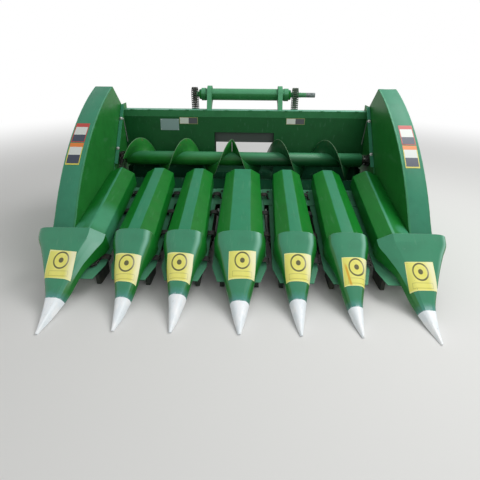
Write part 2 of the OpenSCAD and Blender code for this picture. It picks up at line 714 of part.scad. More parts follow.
module side_shield() {
    difference() {
        across(wall_x, shield_x) polygon(concat(shield_arc(shield_r), [shield_toe, shield_chin,
            shield_bottom, shield_heel], shield_back));
        // open below and behind
        across(wall_x + shield_t, shield_x - shield_t) polygon(concat(shield_arc(shield_r - shield_t),
            [shield_toe + [shield_t, 0], shield_chin - [0, 5], shield_bottom - [0, 5], shield_heel + [30, -5]],
            [for (p = shield_back) p + [30, 0]], [[shield_back[2][0], shield_top[1] + 5],
            shield_top + [50, 5]]));
        for (p = [[auger_y, auger_z], cross_shaft_at, rear_shaft_at])
            translate([0, p[0], p[1]]) rod(wall_x - 1, wall_x + shield_t + 1, shaft_hole);
    }
}
module side_shield_left() { color("forestgreen") part() mirror([1, 0, 0]) side_shield(); }
module side_shield_right() { color("forestgreen") part() side_shield(); }

// Frame behind the feeder opening: a sleeve of sheet with a bolting flange
feeder_rear = beam_y + feeder_d;
flange_t = 12;
sleeve_t = 8;
bolt_x = feeder_w / 2 + 30;
bolt_z = [feeder_low + 60, feeder_top - 60];
bolt_r = 9;
module feeder_box(grow, y0, y1) {
    translate([-feeder_w / 2 - grow, y0, feeder_low - grow])
        cube([feeder_w + 2 * grow, y1 - y0, feeder_top - feeder_low + 2 * grow]);
}
module feeder_frame() {
    color("darkgreen") part() difference() {
        union() {
            feeder_box(sleeve_t, auger_y + 60, feeder_rear);
            feeder_box(flange_out, feeder_rear - flange_t, feeder_rear);
        }
        feeder_box(0, auger_y, feeder_rear + 100);
        across(-end_x, end_x) {
            translate([auger_y, auger_z]) circle(r = trough_r + sheet, $fn = 96);
            polygon([[auger_y, auger_z], [wall_y + sheet, auger_z], [beam_y + sheet, beam_top - beam_h],
                [auger_y, beam_top - beam_h]]);
        }
        for (s = [-1, 1]) for (z = bolt_z) translate([s * bolt_x, feeder_rear - 2 * flange_t, z])
            rotate([-90, 0, 0]) cylinder(r = bolt_r, h = 3 * flange_t);
    }
}

// Jackshaft in its tube on two brackets above the top beam. Its free end is turned down to a shoulder.
jack_free = 190;
jack_step = 2;
collar_l = 60;
collar_t = 6;
end_cap = 20;
tube_wall = 8;
bracket_x = 478;
bracket_w = 60;
module jackshaft_tube() {
    color("forestgreen") part() {
        translate([0, jack_y, jack_z]) difference() {
            union() {
                rod(-jack_tube_l / 2, jack_tube_l / 2, jack_tube_d / 2);
                for (x = [-jack_tube_l / 2, jack_tube_l / 2 - collar_l])
                    rod(x, x + collar_l, jack_tube_d / 2 + collar_t);
            }
            rod(-jack_tube_l / 2 + end_cap, jack_tube_l / 2 - end_cap, jack_tube_d / 2 - tube_wall);
            rod(-jack_tube_l, jack_tube_l, jack_d / 2 + jack_step + run);
        }
        for (s = [-1, 1]) across(s * bracket_x - bracket_w / 2, s * bracket_x + bracket_w / 2) difference() {
            union() {
                translate([jack_y, jack_z]) circle(r = bracket_r);
                polygon([[beam_y + 40, beam_top], [beam_y + beam_d, beam_top], [jack_y + 104, jack_z - 42],
                    [jack_y - 90, jack_z + 66]]);
            }
            translate([jack_y, jack_z]) circle(r = jack_tube_d / 2 - eps);
        }
    }
}
// Toothed wheel in the (y, z) plane
module sprocket(r, teeth) {
    circle(r = r - 6);
    for (j = [0:teeth - 1]) rotate(j * 360 / teeth) polygon([[r - 10, -5], [r, -2.5], [r, 2.5], [r - 10, 5]]);
}
module jackshaft() {
    color("silver") part() translate([0, jack_y, jack_z]) {
        rod(-sprocket_x - 40, jack_reach - jack_free, jack_d / 2 + jack_step);
        rod(jack_reach - jack_free - eps, jack_reach, jack_d / 2);
        for (s = [-1, 1]) across(s * sprocket_x - sprocket_t / 2, s * sprocket_x + sprocket_t / 2)
            sprocket(wheel_r(chain_r), 12);
    }
}
module drive_chains() {
    color("dimgray") part() for (s = [-1, 1]) {
        across(s * sprocket_x - chain_t / 2, s * sprocket_x + chain_t / 2)
            chain_between(rear_shaft_at, [jack_y, jack_z], chain_r, chain_w);
        across(s * side_chain_x - chain_t / 2, s * side_chain_x + chain_t / 2)
            chain_between(cross_shaft_at, rear_shaft_at, side_chain_r, chain_w);
    }
}

// Shaft low behind the wall that takes the drive to both ends
// Place of the side chains inside the shields, and the ends of the shafts there
side_chain_x = wall_x + 70;
shaft_reach = side_chain_x + 40;
rear_shaft_r = 18;
module rear_shaft() {
    color("silver") part() translate([0, jack_y, rear_shaft_z]) {
        rod(-shaft_reach, shaft_reach, rear_shaft_r);
        for (s = [-1, 1]) across(s * sprocket_x - sprocket_t / 2, s * sprocket_x + sprocket_t / 2)
            sprocket(wheel_r(chain_r), 12);
        for (s = [-1, 1]) wheel(s * side_chain_x, side_chain_r);
    }
}
hanger_t = 24;
module shaft_hangers() {
    at_x = [-end_x + 175, -post_x, post_x, end_x - 175];
    color("darkgreen") part() for (x = at_x) across(x - hanger_t / 2, x + hanger_t / 2) difference() {
        union() {
            translate([jack_y, rear_shaft_z]) circle(r = 40);
            polygon([[beam_y + beam_d, toolbar_z + 20], [beam_y + beam_d, toolbar_z + lower_beam],
                [jack_y - 35, rear_shaft_z + 20], [jack_y + 25, rear_shaft_z - 30]]);
        }
        translate([jack_y, rear_shaft_z]) circle(r = rear_shaft_r + run);
    }
}
// Shaft through all gear cases
module cross_shaft() {
    color("silver") slope() translate([0, cross_shaft_s, -cross_shaft_n]) {
        rod(-shaft_reach, shaft_reach, shaft_r);
        for (x = [-auger_chain_x, -side_chain_x, side_chain_x]) wheel(x, side_chain_r);
    }
}

back_wall();
top_beam();
main_frame();
trough();
end_plate_left();
end_plate_right();
side_shield_left();
side_shield_right();
feeder_frame();
deck_plates();
slot_covers();
hood_brackets();
for (k = [0:snouts - 1]) {
    hood(k);
    nose(k);
}
for (i = [0:rows - 1]) {
    row_frame(i);
    gathering_chain(i);
    roll(i, -1);
    roll(i, 1);
}
auger();
auger_bearings();
auger_chain();
cross_shaft();
jackshaft_tube();
jackshaft();
drive_chains();
rear_shaft();
shaft_hangers();
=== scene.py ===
import bmesh
import bpy
import json
import math
import random
from mathutils import Matrix, Vector


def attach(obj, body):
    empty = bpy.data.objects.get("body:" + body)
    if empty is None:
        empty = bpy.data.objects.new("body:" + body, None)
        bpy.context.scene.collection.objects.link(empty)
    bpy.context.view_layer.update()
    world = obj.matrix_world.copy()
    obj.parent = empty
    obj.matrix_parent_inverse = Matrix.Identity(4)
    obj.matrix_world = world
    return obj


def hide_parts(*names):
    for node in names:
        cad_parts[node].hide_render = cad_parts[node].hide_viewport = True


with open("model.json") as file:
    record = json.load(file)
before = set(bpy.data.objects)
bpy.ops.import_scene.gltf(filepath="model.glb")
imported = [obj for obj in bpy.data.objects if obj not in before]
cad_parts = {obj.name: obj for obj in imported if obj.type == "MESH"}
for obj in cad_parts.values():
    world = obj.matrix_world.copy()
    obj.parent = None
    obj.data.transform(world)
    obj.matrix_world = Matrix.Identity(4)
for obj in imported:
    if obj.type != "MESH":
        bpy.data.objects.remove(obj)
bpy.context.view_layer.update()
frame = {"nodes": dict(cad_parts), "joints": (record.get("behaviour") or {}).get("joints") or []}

# Camera at the place of the photograph's: at eye height, close in front of the snout tips, looking down
# on the header. The picture is cropped above and below, which the small shift repeats.
camera = bpy.data.objects.new("camera", bpy.data.cameras.new("camera"))
bpy.context.scene.collection.objects.link(camera)
bpy.context.scene.camera = camera
camera.data.lens = 25.5
camera.data.sensor_width = 36
picture_px, across_px, up_px = 480, -1, -26
camera.data.shift_x = across_px / picture_px
camera.data.shift_y = up_px / picture_px
turned, down, rolled = (math.radians(a) for a in (1.38, 25.0, 0.42))
forward = Vector((-math.sin(turned) * math.cos(down), math.cos(turned) * math.cos(down), -math.sin(down)))
level = Vector((math.cos(turned), math.sin(turned), 0))
upright = level.cross(forward)
right = math.cos(rolled) * level + math.sin(rolled) * upright
above = math.cos(rolled) * upright - math.sin(rolled) * level
camera.matrix_world = Matrix((right, above, -forward)).transposed().to_4x4()
camera.location = (0.077, -3.527, 2.043)

# Finishes are built from wires: a wire is one output of a node, and sums on it add Math nodes. Colours
# are written as they look on a screen, from 0 to 255.
bpy.context.scene.view_settings.view_transform = "Standard"


def colour(red, green, blue):
    """A shade as it looks on a screen, in the linear values that a finish takes."""
    shares = [c / 255 for c in (red, green, blue)]
    return tuple(c / 12.92 if c < 0.0405 else ((c + 0.055) / 1.055) ** 2.4 for c in shares) + (1,)


class Wire:
    """An output of a finish's nodes, on which sums add Math nodes."""

    def __init__(self, finish, socket):
        self.finish, self.socket = finish, socket

    def math(self, operation, *others, clamp=False):
        settings = {"operation": operation, "use_clamp": clamp}
        return self.finish.node("ShaderNodeMath", settings, dict(enumerate((self,) + others)))

    def __add__(self, other):
        return self.math("ADD", other)

    def __mul__(self, other):
        return self.math("MULTIPLY", other)

    def __sub__(self, other):
        return self.math("SUBTRACT", other)

    def __rsub__(self, other):
        return self * -1 + other

    __radd__, __rmul__ = __add__, __mul__

    def clamp(self):
        return self.math("ADD", 0.0, clamp=True)

    def rise(self, low, high):
        """0 below low, 1 above high, with a soft step between."""
        sockets = {0: self, 1: low, 2: high, 3: 0.0, 4: 1.0}
        return self.finish.node("ShaderNodeMapRange", {"interpolation_type": "SMOOTHSTEP"}, sockets)


class Finish:
    """The material of a surface: wires in, one Principled shader out."""

    def __init__(self, name):
        self.material = bpy.data.materials.new(name)
        self.material.use_nodes = True
        self.tree = self.material.node_tree
        self.shader = self.tree.nodes["Principled BSDF"]
        self.place = self.node("ShaderNodeTexCoord", out="Object")
        self.x, self.y, self.z = self.split(self.place)
        self.out_x, self.out_y, self.out_z = self.split(self.node("ShaderNodeTexCoord", out="Normal"))

    def node(self, kind, settings=None, sockets=None, out=0):
        node = self.tree.nodes.new(kind)
        for name, value in (settings or {}).items():
            setattr(node, name, value)
        for key, value in (sockets or {}).items():
            self.plug(node.inputs[key], value)
        return Wire(self, node.outputs[out])

    def plug(self, socket, value):
        if isinstance(value, Wire):
            self.tree.links.new(value.socket, socket)
        else:
            socket.default_value = value

    def split(self, vector):
        node = self.tree.nodes.new("ShaderNodeSeparateXYZ")
        self.plug(node.inputs[0], vector)
        return [Wire(self, o) for o in node.outputs]

    def mix(self, share, a, b):
        return self.node("ShaderNodeMix", {"data_type": "RGBA"}, {0: share, 6: a, 7: b}, out=2)

    def noise(self, scale, detail=2.0, stretch=None):
        place = self.place
        if stretch:
            place = self.node("ShaderNodeVectorMath", {"operation": "MULTIPLY"}, {0: place, 1: stretch})
        return self.node("ShaderNodeTexNoise", None, {"Vector": place, "Scale": scale, "Detail": detail})

    def worn_edge(self, radius):
        """Share along sharp edges, used for wear and for painted highlights, and the normal with those edges
        rounded.
        """
        round_normal = self.node("ShaderNodeBevel", {"samples": 4}, {"Radius": radius})
        true_normal = self.node("ShaderNodeNewGeometry", out="Normal")
        agree = self.node("ShaderNodeVectorMath", {"operation": "DOT_PRODUCT"},
                          {0: round_normal, 1: true_normal}, out="Value")
        return (1 - agree).rise(0.02, 0.2), round_normal

    def done(self, base, roughness, height=None, depth=0.001, normal=None, metallic=0.0, coat=0.0,
             specular=0.5):
        self.plug(self.shader.inputs["Base Color"], base)
        self.plug(self.shader.inputs["Roughness"], roughness)
        self.plug(self.shader.inputs["Metallic"], metallic)
        self.shader.inputs["Coat Weight"].default_value = coat
        self.shader.inputs["Coat Roughness"].default_value = 0.2
        self.shader.inputs["Specular IOR Level"].default_value = specular
        if height is not None:
            sockets = {"Height": height, "Strength": 1.0, "Distance": depth}
            if normal is not None:
                sockets["Normal"] = normal
            normal = self.node("ShaderNodeBump", None, sockets)
        if normal is not None:
            self.plug(self.shader.inputs["Normal"], normal)
        return self.material


# Floor and light of a plain studio: a pale floor that fades into white far off, a wide soft lamp above
# and a weaker one in front. The world lights evenly and shows white.
def pale_floor():
    finish = Finish("floor")
    away = (finish.x.math("MULTIPLY", finish.x) + finish.y * finish.y).math("SQRT")
    tree, shader = finish.tree, finish.shader
    finish.done(colour(226, 226, 224), 0.75, specular=0.2)
    white = tree.nodes.new("ShaderNodeEmission")
    blend = tree.nodes.new("ShaderNodeMixShader")
    finish.plug(blend.inputs[0], away.rise(4.0, 11.0))
    tree.links.new(shader.outputs[0], blend.inputs[1])
    tree.links.new(white.outputs[0], blend.inputs[2])
    tree.links.new(blend.outputs[0], tree.nodes["Material Output"].inputs["Surface"])
    return finish.material


floor_half = 40.0
floor_mesh = bpy.data.meshes.new("floor")
floor_corners = [(x * floor_half, y * floor_half, 0) for x, y in ((-1, -1), (1, -1), (1, 1), (-1, 1))]
floor_mesh.from_pydata(floor_corners, [], [(0, 1, 2, 3)])
floor_mesh.materials.append(pale_floor())
floor = bpy.data.objects.new("floor", floor_mesh)
bpy.context.scene.collection.objects.link(floor)

world = bpy.data.worlds.new("studio")
bpy.context.scene.world = world
world.use_nodes = True
light_path = world.node_tree.nodes.new("ShaderNodeLightPath")
seen = world.node_tree.nodes.new("ShaderNodeMath")
seen.operation = "MAXIMUM"
seen_or_through = world.node_tree.nodes.new("ShaderNodeMath")
seen_or_through.operation = "MAXIMUM"
strength = world.node_tree.nodes.new("ShaderNodeMapRange")
world_light = 0.46
strength.inputs[3].default_value = world_light
strength.inputs[4].default_value = 1.0
background = world.node_tree.nodes["Background"]
background.inputs["Color"].default_value = (1, 1, 1, 1)
world_wires = (
    (light_path.outputs["Is Camera Ray"], seen.inputs[0]),
    (light_path.outputs["Is Glossy Ray"], seen.inputs[1]),
    (seen.outputs[0], seen_or_through.inputs[0]),
    (light_path.outputs["Is Transmission Ray"], seen_or_through.inputs[1]),
    (seen_or_through.outputs[0], strength.inputs[0]),
    (strength.outputs[0], background.inputs["Strength"]),
)
for a, b in world_wires:
    world.node_tree.links.new(a, b)


def soft_lamp(name, at, size, power):
    lamp = bpy.data.objects.new(name, bpy.data.lights.new(name, "AREA"))
    bpy.context.scene.collection.objects.link(lamp)
    lamp.data.shape = "RECTANGLE"
    lamp.data.size, lamp.data.size_y = size
    lamp.data.energy = power
    lamp.location = at
    lamp.rotation_euler = (Vector((0, 0, 0.6)) - Vector(at)).to_track_quat("-Z", "Y").to_euler()


soft_lamp("sky_lamp", (3.6, 0.6, 6.0), (5.0, 3.5), 270)
soft_lamp("front_lamp", (2.5, -5.5, 4.0), (3.5, 2.5), 50)


# Welded frame: wall, upper beam, tool bar, uprights, stands and end plates of rolled sheet and box tube. Its
# green machine paint went on in one coat. Where it faces the sky it is painted a pale blue green, a painted
# reflection of the sky, and deep green on the flanks. It is dusty low down, and lighter along bends and
# edges, partly from wear and partly as a painted highlight.
def dimmed(shade, share):
    return tuple(c * share for c in shade[:3]) + (1,)


def green_paint(name, flank, sky_sheen, gloss=0.36, dust=0.25, edge=0.5, lean=0.35, dents=1.0, sprayed_with_sheen=False,
                coat=0.05, specular=0.14, painted_highlights=()):
    """Lean: how far a forward face counts as facing the sky and takes the painted sheen; glows are painted
    highlights.
    """
    finish = Finish(name)
    cloud = finish.noise(1.7, 3.0)
    patch = finish.noise(9.0, 4.0)
    grain = finish.noise(170.0, 2.0)
    turned_out, facing_sky = (0.1, (0.74, 0.86)) if sprayed_with_sheen else (0.45, (0.80, 1.0))
    sideways = finish.out_x.math("ABSOLUTE") * turned_out
    # Faces that look up, and forward by lean, take the pale colour: a painted sheen of the sky reflected on
    # them.
    lit = (finish.out_z - finish.out_y * lean - sideways + (cloud - 0.5) * 0.3).rise(*facing_sky)
    # Round patches turned to the pale colour: painted highlights.
    for x, y, r in painted_highlights:
        away = ((finish.x - x) * (finish.x - x) + (finish.y - y) * (finish.y - y)).math("SQRT")
        lit = lit.math("MAXIMUM", (1 - away.rise(r * 0.3, r)) * 0.9)
    base = finish.mix(lit, flank, sky_sheen)
    stained = finish.mix(lit, dimmed(flank, 0.7), dimmed(sky_sheen, 0.8))
    base = finish.mix(patch.rise(0.42, 0.72) * 0.4, base, stained)
    streak = finish.noise(30.0, 3.0, (1.0, 0.12, 0.4)).rise(0.58, 0.8)
    base = finish.mix(streak * 0.14, base, colour(120, 172, 140))
    low = 1 - finish.z.rise(0.05, 0.5)
    settled = low * 0.5 + finish.out_z.rise(0.3, 0.9) * 0.25 + 0.1
    dirt = (finish.noise(5.0, 5.0).rise(0.5, 0.85) * settled * dust * 2).clamp()
    base = finish.mix(dirt * (0.25 if sprayed_with_sheen else 0.7), base, colour(86, 104, 70))
    # Sharp edges lightened to pale green: partly wear, partly a painted highlight along the bends.
    worn, soft = finish.worn_edge(0.004)
    base = finish.mix(worn * (0.3 + patch.rise(0.4, 0.6) * 0.7) * edge, base, colour(134, 188, 160))
    scratch = finish.noise(60.0, 2.0, (0.25, 1.0, 2.2)).rise(0.70, 0.74) * patch.rise(0.55, 0.7)
    base = finish.mix(scratch * 0.4, base, colour(110, 160, 134))
    if sprayed_with_sheen:
        # On the noses a pale band along the right shoulder is a painted highlight.
        shoulder = finish.out_x.rise(0.15, 0.4) * (1 - finish.out_x.rise(0.42, 0.62))
        base = finish.mix(shoulder * finish.y.rise(0.05, 0.55) * 0.7, base, colour(138, 196, 172))
        ragged = finish.y + (finish.noise(38.0, 4.0) - 0.5) * 0.05
        base = finish.mix((1 - ragged.rise(0.0, 0.075)) * 0.4, base, colour(92, 150, 168))
        base = finish.mix((1 - ragged.rise(-0.012, 0.012)) * 0.8, base, colour(196, 214, 220))
    height = grain * 0.04 + finish.noise(3.2, 2.0) * dents + patch * 0.12
    rough = gloss + dirt * 0.35 + grain * 0.06
    return finish.done(base, rough, height, 0.0035, soft, coat=coat, specular=specular)


def cover(finish, *nodes):
    """Gives its finish to a solid that shows as it was built."""
    for node in nodes:
        frame["nodes"][node].data.materials.clear()
        frame["nodes"][node].data.materials.append(finish)


wall_paint = green_paint("wall_paint", colour(16, 82, 38), colour(44, 112, 70), gloss=0.5, dust=0.12,
                         edge=0.3)
frame_paint = green_paint("frame_paint", colour(22, 70, 36), colour(44, 100, 68), gloss=0.46, dust=0.5)
beam_paint = green_paint("beam_paint", colour(52, 124, 76), colour(96, 164, 136), gloss=0.5, dust=0.0)
shield_paint = green_paint("shield_paint", colour(38, 120, 50), colour(62, 136, 106), dents=1.6, lean=1.1)
cover(wall_paint, "back_wall")
cover(beam_paint, "top_beam")
cover(frame_paint, "main_frame", "shaft_hangers", "hood_brackets")
cover(shield_paint, "end_plate_left", "end_plate_right")

# Auger trough and the sleeve behind the feeder opening: rolled sheet, scoured dull by the crop that slides
# over it, and dark in the shade of the wall.
trough_paint = green_paint("trough_paint", colour(12, 54, 28), colour(20, 64, 42), gloss=0.85, dust=0.3,
                           coat=0.0, specular=0.02)
cover(trough_paint, "trough", "feeder_frame")


# Upper shaft in its tube, and the lower and cross shafts: turned bar with a little rust. The tube and its
# posts are painted, and so is the upper shaft up to the end that stays bare for a drive line.
def steel(name, dark, bright, rust, metallic=0.8, rough=0.38, painted_to=None):
    finish = Finish(name)
    lump = finish.noise(26.0, 4.0)
    base = finish.mix(lump.rise(0.35, 0.7), dark, bright)
    red = finish.noise(9.0, 5.0).rise(0.5, 0.72) * rust
    base = finish.mix(red, base, colour(112, 74, 48))
    lines = finish.noise(90.0, 2.0, (6.0, 1.0, 1.0))
    worn, soft = finish.worn_edge(0.002)
    base = finish.mix(worn * 0.5, base, colour(176, 178, 176))
    if painted_to:
        base = finish.mix(finish.x.rise(painted_to - 0.002, painted_to), colour(66, 132, 88), base)
    return finish.done(base, rough + red * 0.35 + lines * 0.1, lump * 0.5 + lines * 0.3, 0.0008, soft,
                       metallic=metallic - red * 0.6)


tube_paint = green_paint("tube_paint", colour(46, 118, 66), colour(84, 154, 112), gloss=0.5, dust=0.0,
                         lean=0.7)
shaft_steel = steel("shaft_steel", colour(150, 152, 154), colour(206, 207, 208), 0.12, rough=0.26)
bare_from = 0.836
jack_steel = steel("jack_steel", colour(84, 96, 94), colour(128, 138, 138), 0.1, metallic=0.2, rough=0.5,
                   painted_to=bare_from)
cover(tube_paint, "jackshaft_tube")
cover(jack_steel, "jackshaft")
cover(shaft_steel, "rear_shaft", "cross_shaft")


# Row units: gear case, arms and skids below the deck plates are castings in matt black green with earth
# and oil, as are the auger's bearings. The stalk rolls between them are forged steel, dark with sap.
def casting():
    finish = Finish("casting")
    lump = finish.noise(14.0, 5.0)
    base = finish.mix(lump.rise(0.4, 0.7), colour(24, 34, 26), colour(42, 54, 42))
    earth = (finish.noise(4.0, 5.0).rise(0.5, 0.75) * (1 - finish.z.rise(0.05, 0.4))).clamp()
    base = finish.mix(earth * 0.6, base, colour(96, 90, 70))
    worn, soft = finish.worn_edge(0.003)
    base = finish.mix(worn * 0.4, base, colour(110, 116, 104))
    return finish.done(base, 0.55 + earth * 0.3, lump + finish.noise(120.0, 2.0) * 0.3, 0.002, soft)


casting_finish = casting()
roll_steel = steel("roll_steel", colour(34, 36, 32), colour(66, 68, 62), 0.35, metallic=0.4, rough=0.55)
cover(casting_finish, "auger_bearings")
for i in range(1, 7):
    cover(casting_finish, f"row_frame_{i}")
    cover(roll_steel, f"roll_left_{i}", f"roll_right_{i}")

# Deck plates along the rows: thick sheet, open to the sky between the hoods. A plate closes the rear of
# each slot and is held by two bolts through its round holes.
deck_paint = green_paint("deck_paint", colour(26, 80, 46), colour(78, 146, 112), gloss=0.5, dust=0.2,
                         edge=0.6)
cover(deck_paint, "deck_plates", "slot_covers")

slope = math.radians(13)
deck_rise = 0.069
joint_at = {joint["name"]: Vector(joint["pos_m"]) for joint in frame["joints"]}
auger_axis = joint_at["auger_spin"]
tips_y = auger_axis.y - 2.277
row_pitch, middle_pitch = 0.484, 0.572


def deck(x, s, n):
    """Place by the rising plane of the row units: across, along from the tips, and square to it."""
    return Vector((x, tips_y + s * math.cos(slope) - n * math.sin(slope),
                   deck_rise + s * math.sin(slope) + n * math.cos(slope)))


def lerp(a, b, t):
    return a + (b - a) * t


def row_x(i):
    return (i - 2.5) * row_pitch + math.copysign((middle_pitch - row_pitch) / 2, i - 2.5)


def snout_x(k):
    return (k - 3) * row_pitch + (0 if k == 3 else math.copysign((middle_pitch - row_pitch) / 2, k - 3))


class Shape:
    """Points and faces of one piece, each face with the number of the finish that it takes."""

    def __init__(self):
        self.points, self.faces, self.looks = [], [], []

    def add(self, points, faces, look=0):
        first = len(self.points)
        self.points += [Vector(p) for p in points]
        self.faces += [[first + i for i in face] for face in faces]
        self.looks += [look] * len(faces)

    def skin(self, rings, closed=True, caps=True, look=0):
        """Quads from each ring to the next, with the two ends closed by caps."""
        count = len(rings[0])
        faces = []
        for ring in range(len(rings) - 1):
            for i in range(count if closed else count - 1):
                a, b = ring * count + i, ring * count + (i + 1) % count
                faces.append((a, b, b + count, a + count))
        if caps:
            last = (len(rings) - 1) * count
            faces += [tuple(range(count)), tuple(range(last, last + count))]
        self.add([p for ring in rings for p in ring], faces, look)

    def lathe(self, start, axis, profile, sides=24, look=0, turn=0.0):
        """A profile of (distance, radius) turned round the axis from start."""
        axis = Vector(axis).normalized()
        side = axis.orthogonal().normalized()
        other = axis.cross(side)
        turns = [turn + 2 * math.pi * i / sides for i in range(sides)]
        self.skin([[Vector(start) + axis * d + (side * math.cos(a) + other * math.sin(a)) * r for a in turns]
                   for d, r in profile], look=look)

    def slab(self, outline, place, low, high, look=0):
        """An outline of (u, v) points between two depths, put in the frame by place(u, v, depth)."""
        self.skin([[place(u, v, depth) for u, v in outline] for depth in (low, high)], look=look)

    def bolt(self, at, axis, r, look=0, turn=0.0):
        """Washer, hexagonal head or nut and the end of the thread."""
        self.lathe(at, axis, [(0, 1.9 * r), (0.3 * r, 1.9 * r), (0.35 * r, 1.8 * r)], 16, look)
        self.lathe(at, axis, [(0.3 * r, 1.55 * r), (1.3 * r, 1.55 * r), (1.5 * r, 1.3 * r)], 6, look, turn)
        self.lathe(at, axis, [(1.4 * r, 0.8 * r), (2.0 * r, 0.8 * r), (2.15 * r, 0.65 * r)], 10, look)

    def build(self, name, body, finishes, nodes=(), sharp=32, local=None):
        """The finished piece, riding on its body, with its finish laid out in the local frame."""
        local = local or Matrix.Identity(4)
        self.points = [local.inverted() @ p for p in self.points]
        mesh = bpy.data.meshes.new(name)
        mesh.from_pydata(self.points, [], self.faces)
        for finish in finishes:
            mesh.materials.append(finish)
        mesh.polygons.foreach_set("material_index", self.looks)
        work = bmesh.new()
        work.from_mesh(mesh)
        bmesh.ops.recalc_face_normals(work, faces=work.faces)
        work.to_mesh(mesh)
        work.free()
        mesh.polygons.foreach_set("use_smooth", [True] * len(mesh.polygons))
        mesh.set_sharp_from_angle(angle=math.radians(sharp))
        piece = bpy.data.objects.new(name, mesh)
        bpy.context.scene.collection.objects.link(piece)
        piece.matrix_world = local
        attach(piece, body)
        if nodes:
            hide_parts(*nodes)


bolt_dark = steel("bolt_dark", colour(26, 30, 28), colour(52, 56, 52), 0.3, metallic=0.3, rough=0.5)
slot_rear, bolt_x, bolt_r = 1.995, 0.028, 0.009
square_to_deck = deck(0, 0, 1) - deck(0, 0, 0)
shape = Shape()
for i in range(6):
    for back in (0.060, 0.210):
        at = deck(row_x(i) + bolt_x, slot_rear - back, 0)
        shape.bolt(at, square_to_deck, bolt_r, turn=0.4 * i)
shape.build("cover_bolts", "header_frame", [bolt_dark])

# Hoods over the gathering chains: one bent sheet each, with a flat ridge, two sloping sides and upright
# flanges, and a plate welded in at the back. Handling has left the sheet slightly wavy.
hood_front, hood_rear = 0.838, 2.003
hood_ridge, hood_foot = 0.288, 0.050
lane_front, lane_rear = 0.108, 0.160
ridge_w, middle_ridge_w = 0.114, 0.200
outer_ridge_front, outer_ridge_rear, outer_ridge_w, outer_drop = 0.177, 0.138, 0.024, 0.066
facet_drop = 0.64
sheet = 0.004
end_x, wall_x = 1.625, 1.631
bend_r, wave_h = 0.011, 0.0012


def hood_corners(k, t):
    """Section from the left foot over the ridge to the right foot, at share t of the length."""
    if k == 0:
        return [(-x, n) for x, n in reversed(hood_corners(6, t))]
    lane = lerp(lane_front, lane_rear, t) / 2
    if k == 6:
        ridge = end_x - lerp(outer_ridge_front, outer_ridge_rear, t)
        xs = [row_x(5) + lane] * 2 + [ridge - outer_ridge_w, ridge, wall_x, wall_x]
        shoulder = hood_ridge - outer_drop
    else:
        half = (middle_pitch if k == 3 else row_pitch) / 2 - lane
        ridge = (middle_ridge_w if k == 3 else ridge_w) / 2
        xs = [snout_x(k) + x for x in (-half, -half, -ridge, ridge, half, half)]
        shoulder = hood_ridge - facet_drop * (xs[5] - xs[3])
    left = hood_ridge - facet_drop * (xs[2] - xs[0])
    return list(zip(xs, (hood_foot, left, hood_ridge, hood_ridge, shoulder, hood_foot)))


def rounded(corners, r, steps=3):
    """The corners of a bent sheet, each bend drawn as a short arc."""
    out = [Vector(corners[0])]
    for before, corner, after in zip(corners, corners[1:], corners[2:]):
        corner = Vector(corner)
        a, b = (Vector(before) - corner), (Vector(after) - corner)
        cut = min(r, a.length * 0.45, b.length * 0.45)
        a, b = corner + a.normalized() * cut, corner + b.normalized() * cut
        for i in range(steps + 1):
            t = i / steps
            out.append(a * (1 - t) ** 2 + corner * 2 * t * (1 - t) + b * t ** 2)
    return out + [Vector(corners[-1])]


def inward(line, d):
    """The line moved to its right by d."""
    out = []
    for i, p in enumerate(line):
        along = (line[min(i + 1, len(line) - 1)] - line[max(i - 1, 0)]).normalized()
        out.append(p + Vector((along.y, -along.x)) * d)
    return out


def sheet_ring(line, place):
    """A closed ring round a sheet, out over its outer side and back inside."""
    return [place(p.x, p.y) for p in line] + [place(p.x, p.y) for p in reversed(inward(line, sheet))]


hood_stations = 15
panel_paint = green_paint("panel_paint", colour(16, 118, 36), colour(48, 134, 96))
# The outer hoods carry three painted highlights near their front ends.
outer_paint = green_paint("outer_paint", colour(22, 118, 42), colour(70, 150, 112), dust=0.15,
                          painted_highlights=((-1.37, -0.50, 0.30), (-1.58, -0.60, 0.12), (1.58, -0.60, 0.12)))
for k in range(7):
    shape = Shape()
    rings = []
    for i in range(hood_stations):
        t = i / (hood_stations - 1)
        s = lerp(hood_front, hood_rear, t)
        line = rounded(hood_corners(k, t), bend_r)
        for p in line[3:-3]:
            p.y -= wave_h * (1 + math.sin(9 * s + 2.1 * k + 14 * p.x) * math.sin(5 * s - k + 9 * p.x))
        rings.append(sheet_ring(line, lambda x, n: deck(x, s, n)))
    shape.skin(rings)
    end = [tuple(p) for p in inward(rounded(hood_corners(k, 1), bend_r), sheet * 0.9)]
    shape.slab(end, lambda x, n, s: deck(x, s, n), hood_rear - 0.010, hood_rear - 0.006)
    paint = outer_paint if k in (0, 6) else panel_paint
    shape.build(f"hood_sheet_{k + 1}", "header_frame", [paint], [f"hood_{k + 1}"])

# Noses: long pressed cones hinged on the hoods, which they overlap with an arched rear rim. Their tips
# are closed and painted white by hand, over a green that shows a sprayed, uneven border.
nose_rim = 0.846
nose_gap = 0.014 + sheet
tip_s, tip_n = -0.005, -0.050
shield_w, outer_overhang = 0.219, 0.073
outer_nose_x = wall_x + shield_w + outer_overhang
nose_profile = [(0, tip_n, 0.05, 0.9), (0.155, -0.026, 0.19, 0.85), (0.32, 0.004, 0.325, 0.8),
                (0.47, 0.063, 0.47, 0.74), (0.64, 0.138, 0.64, 0.68), (0.82, 0.219, 0.85, 0.6),
                (0.93, 0.272, 0.985, 0.55), (1, hood_ridge + nose_gap, 1, 0.54)]
nose_clear = 0.050
nose_belly = [(0, -0.066), (0.155, -0.084), (0.32, -0.076), (0.6915, nose_clear), (1, nose_clear + 0.002)]
nose_lean = [0, 0, -0.014, 0.020, -0.008, 0, 0]
cap_lap, cap_lift, nib_l = 0.012, 0.0016, 0.003
cap_from = [0.262, 0.280, 0.316, 0.274, 0.296, 0.246, 0.226]
outer_crease = (-0.62, 0.8)


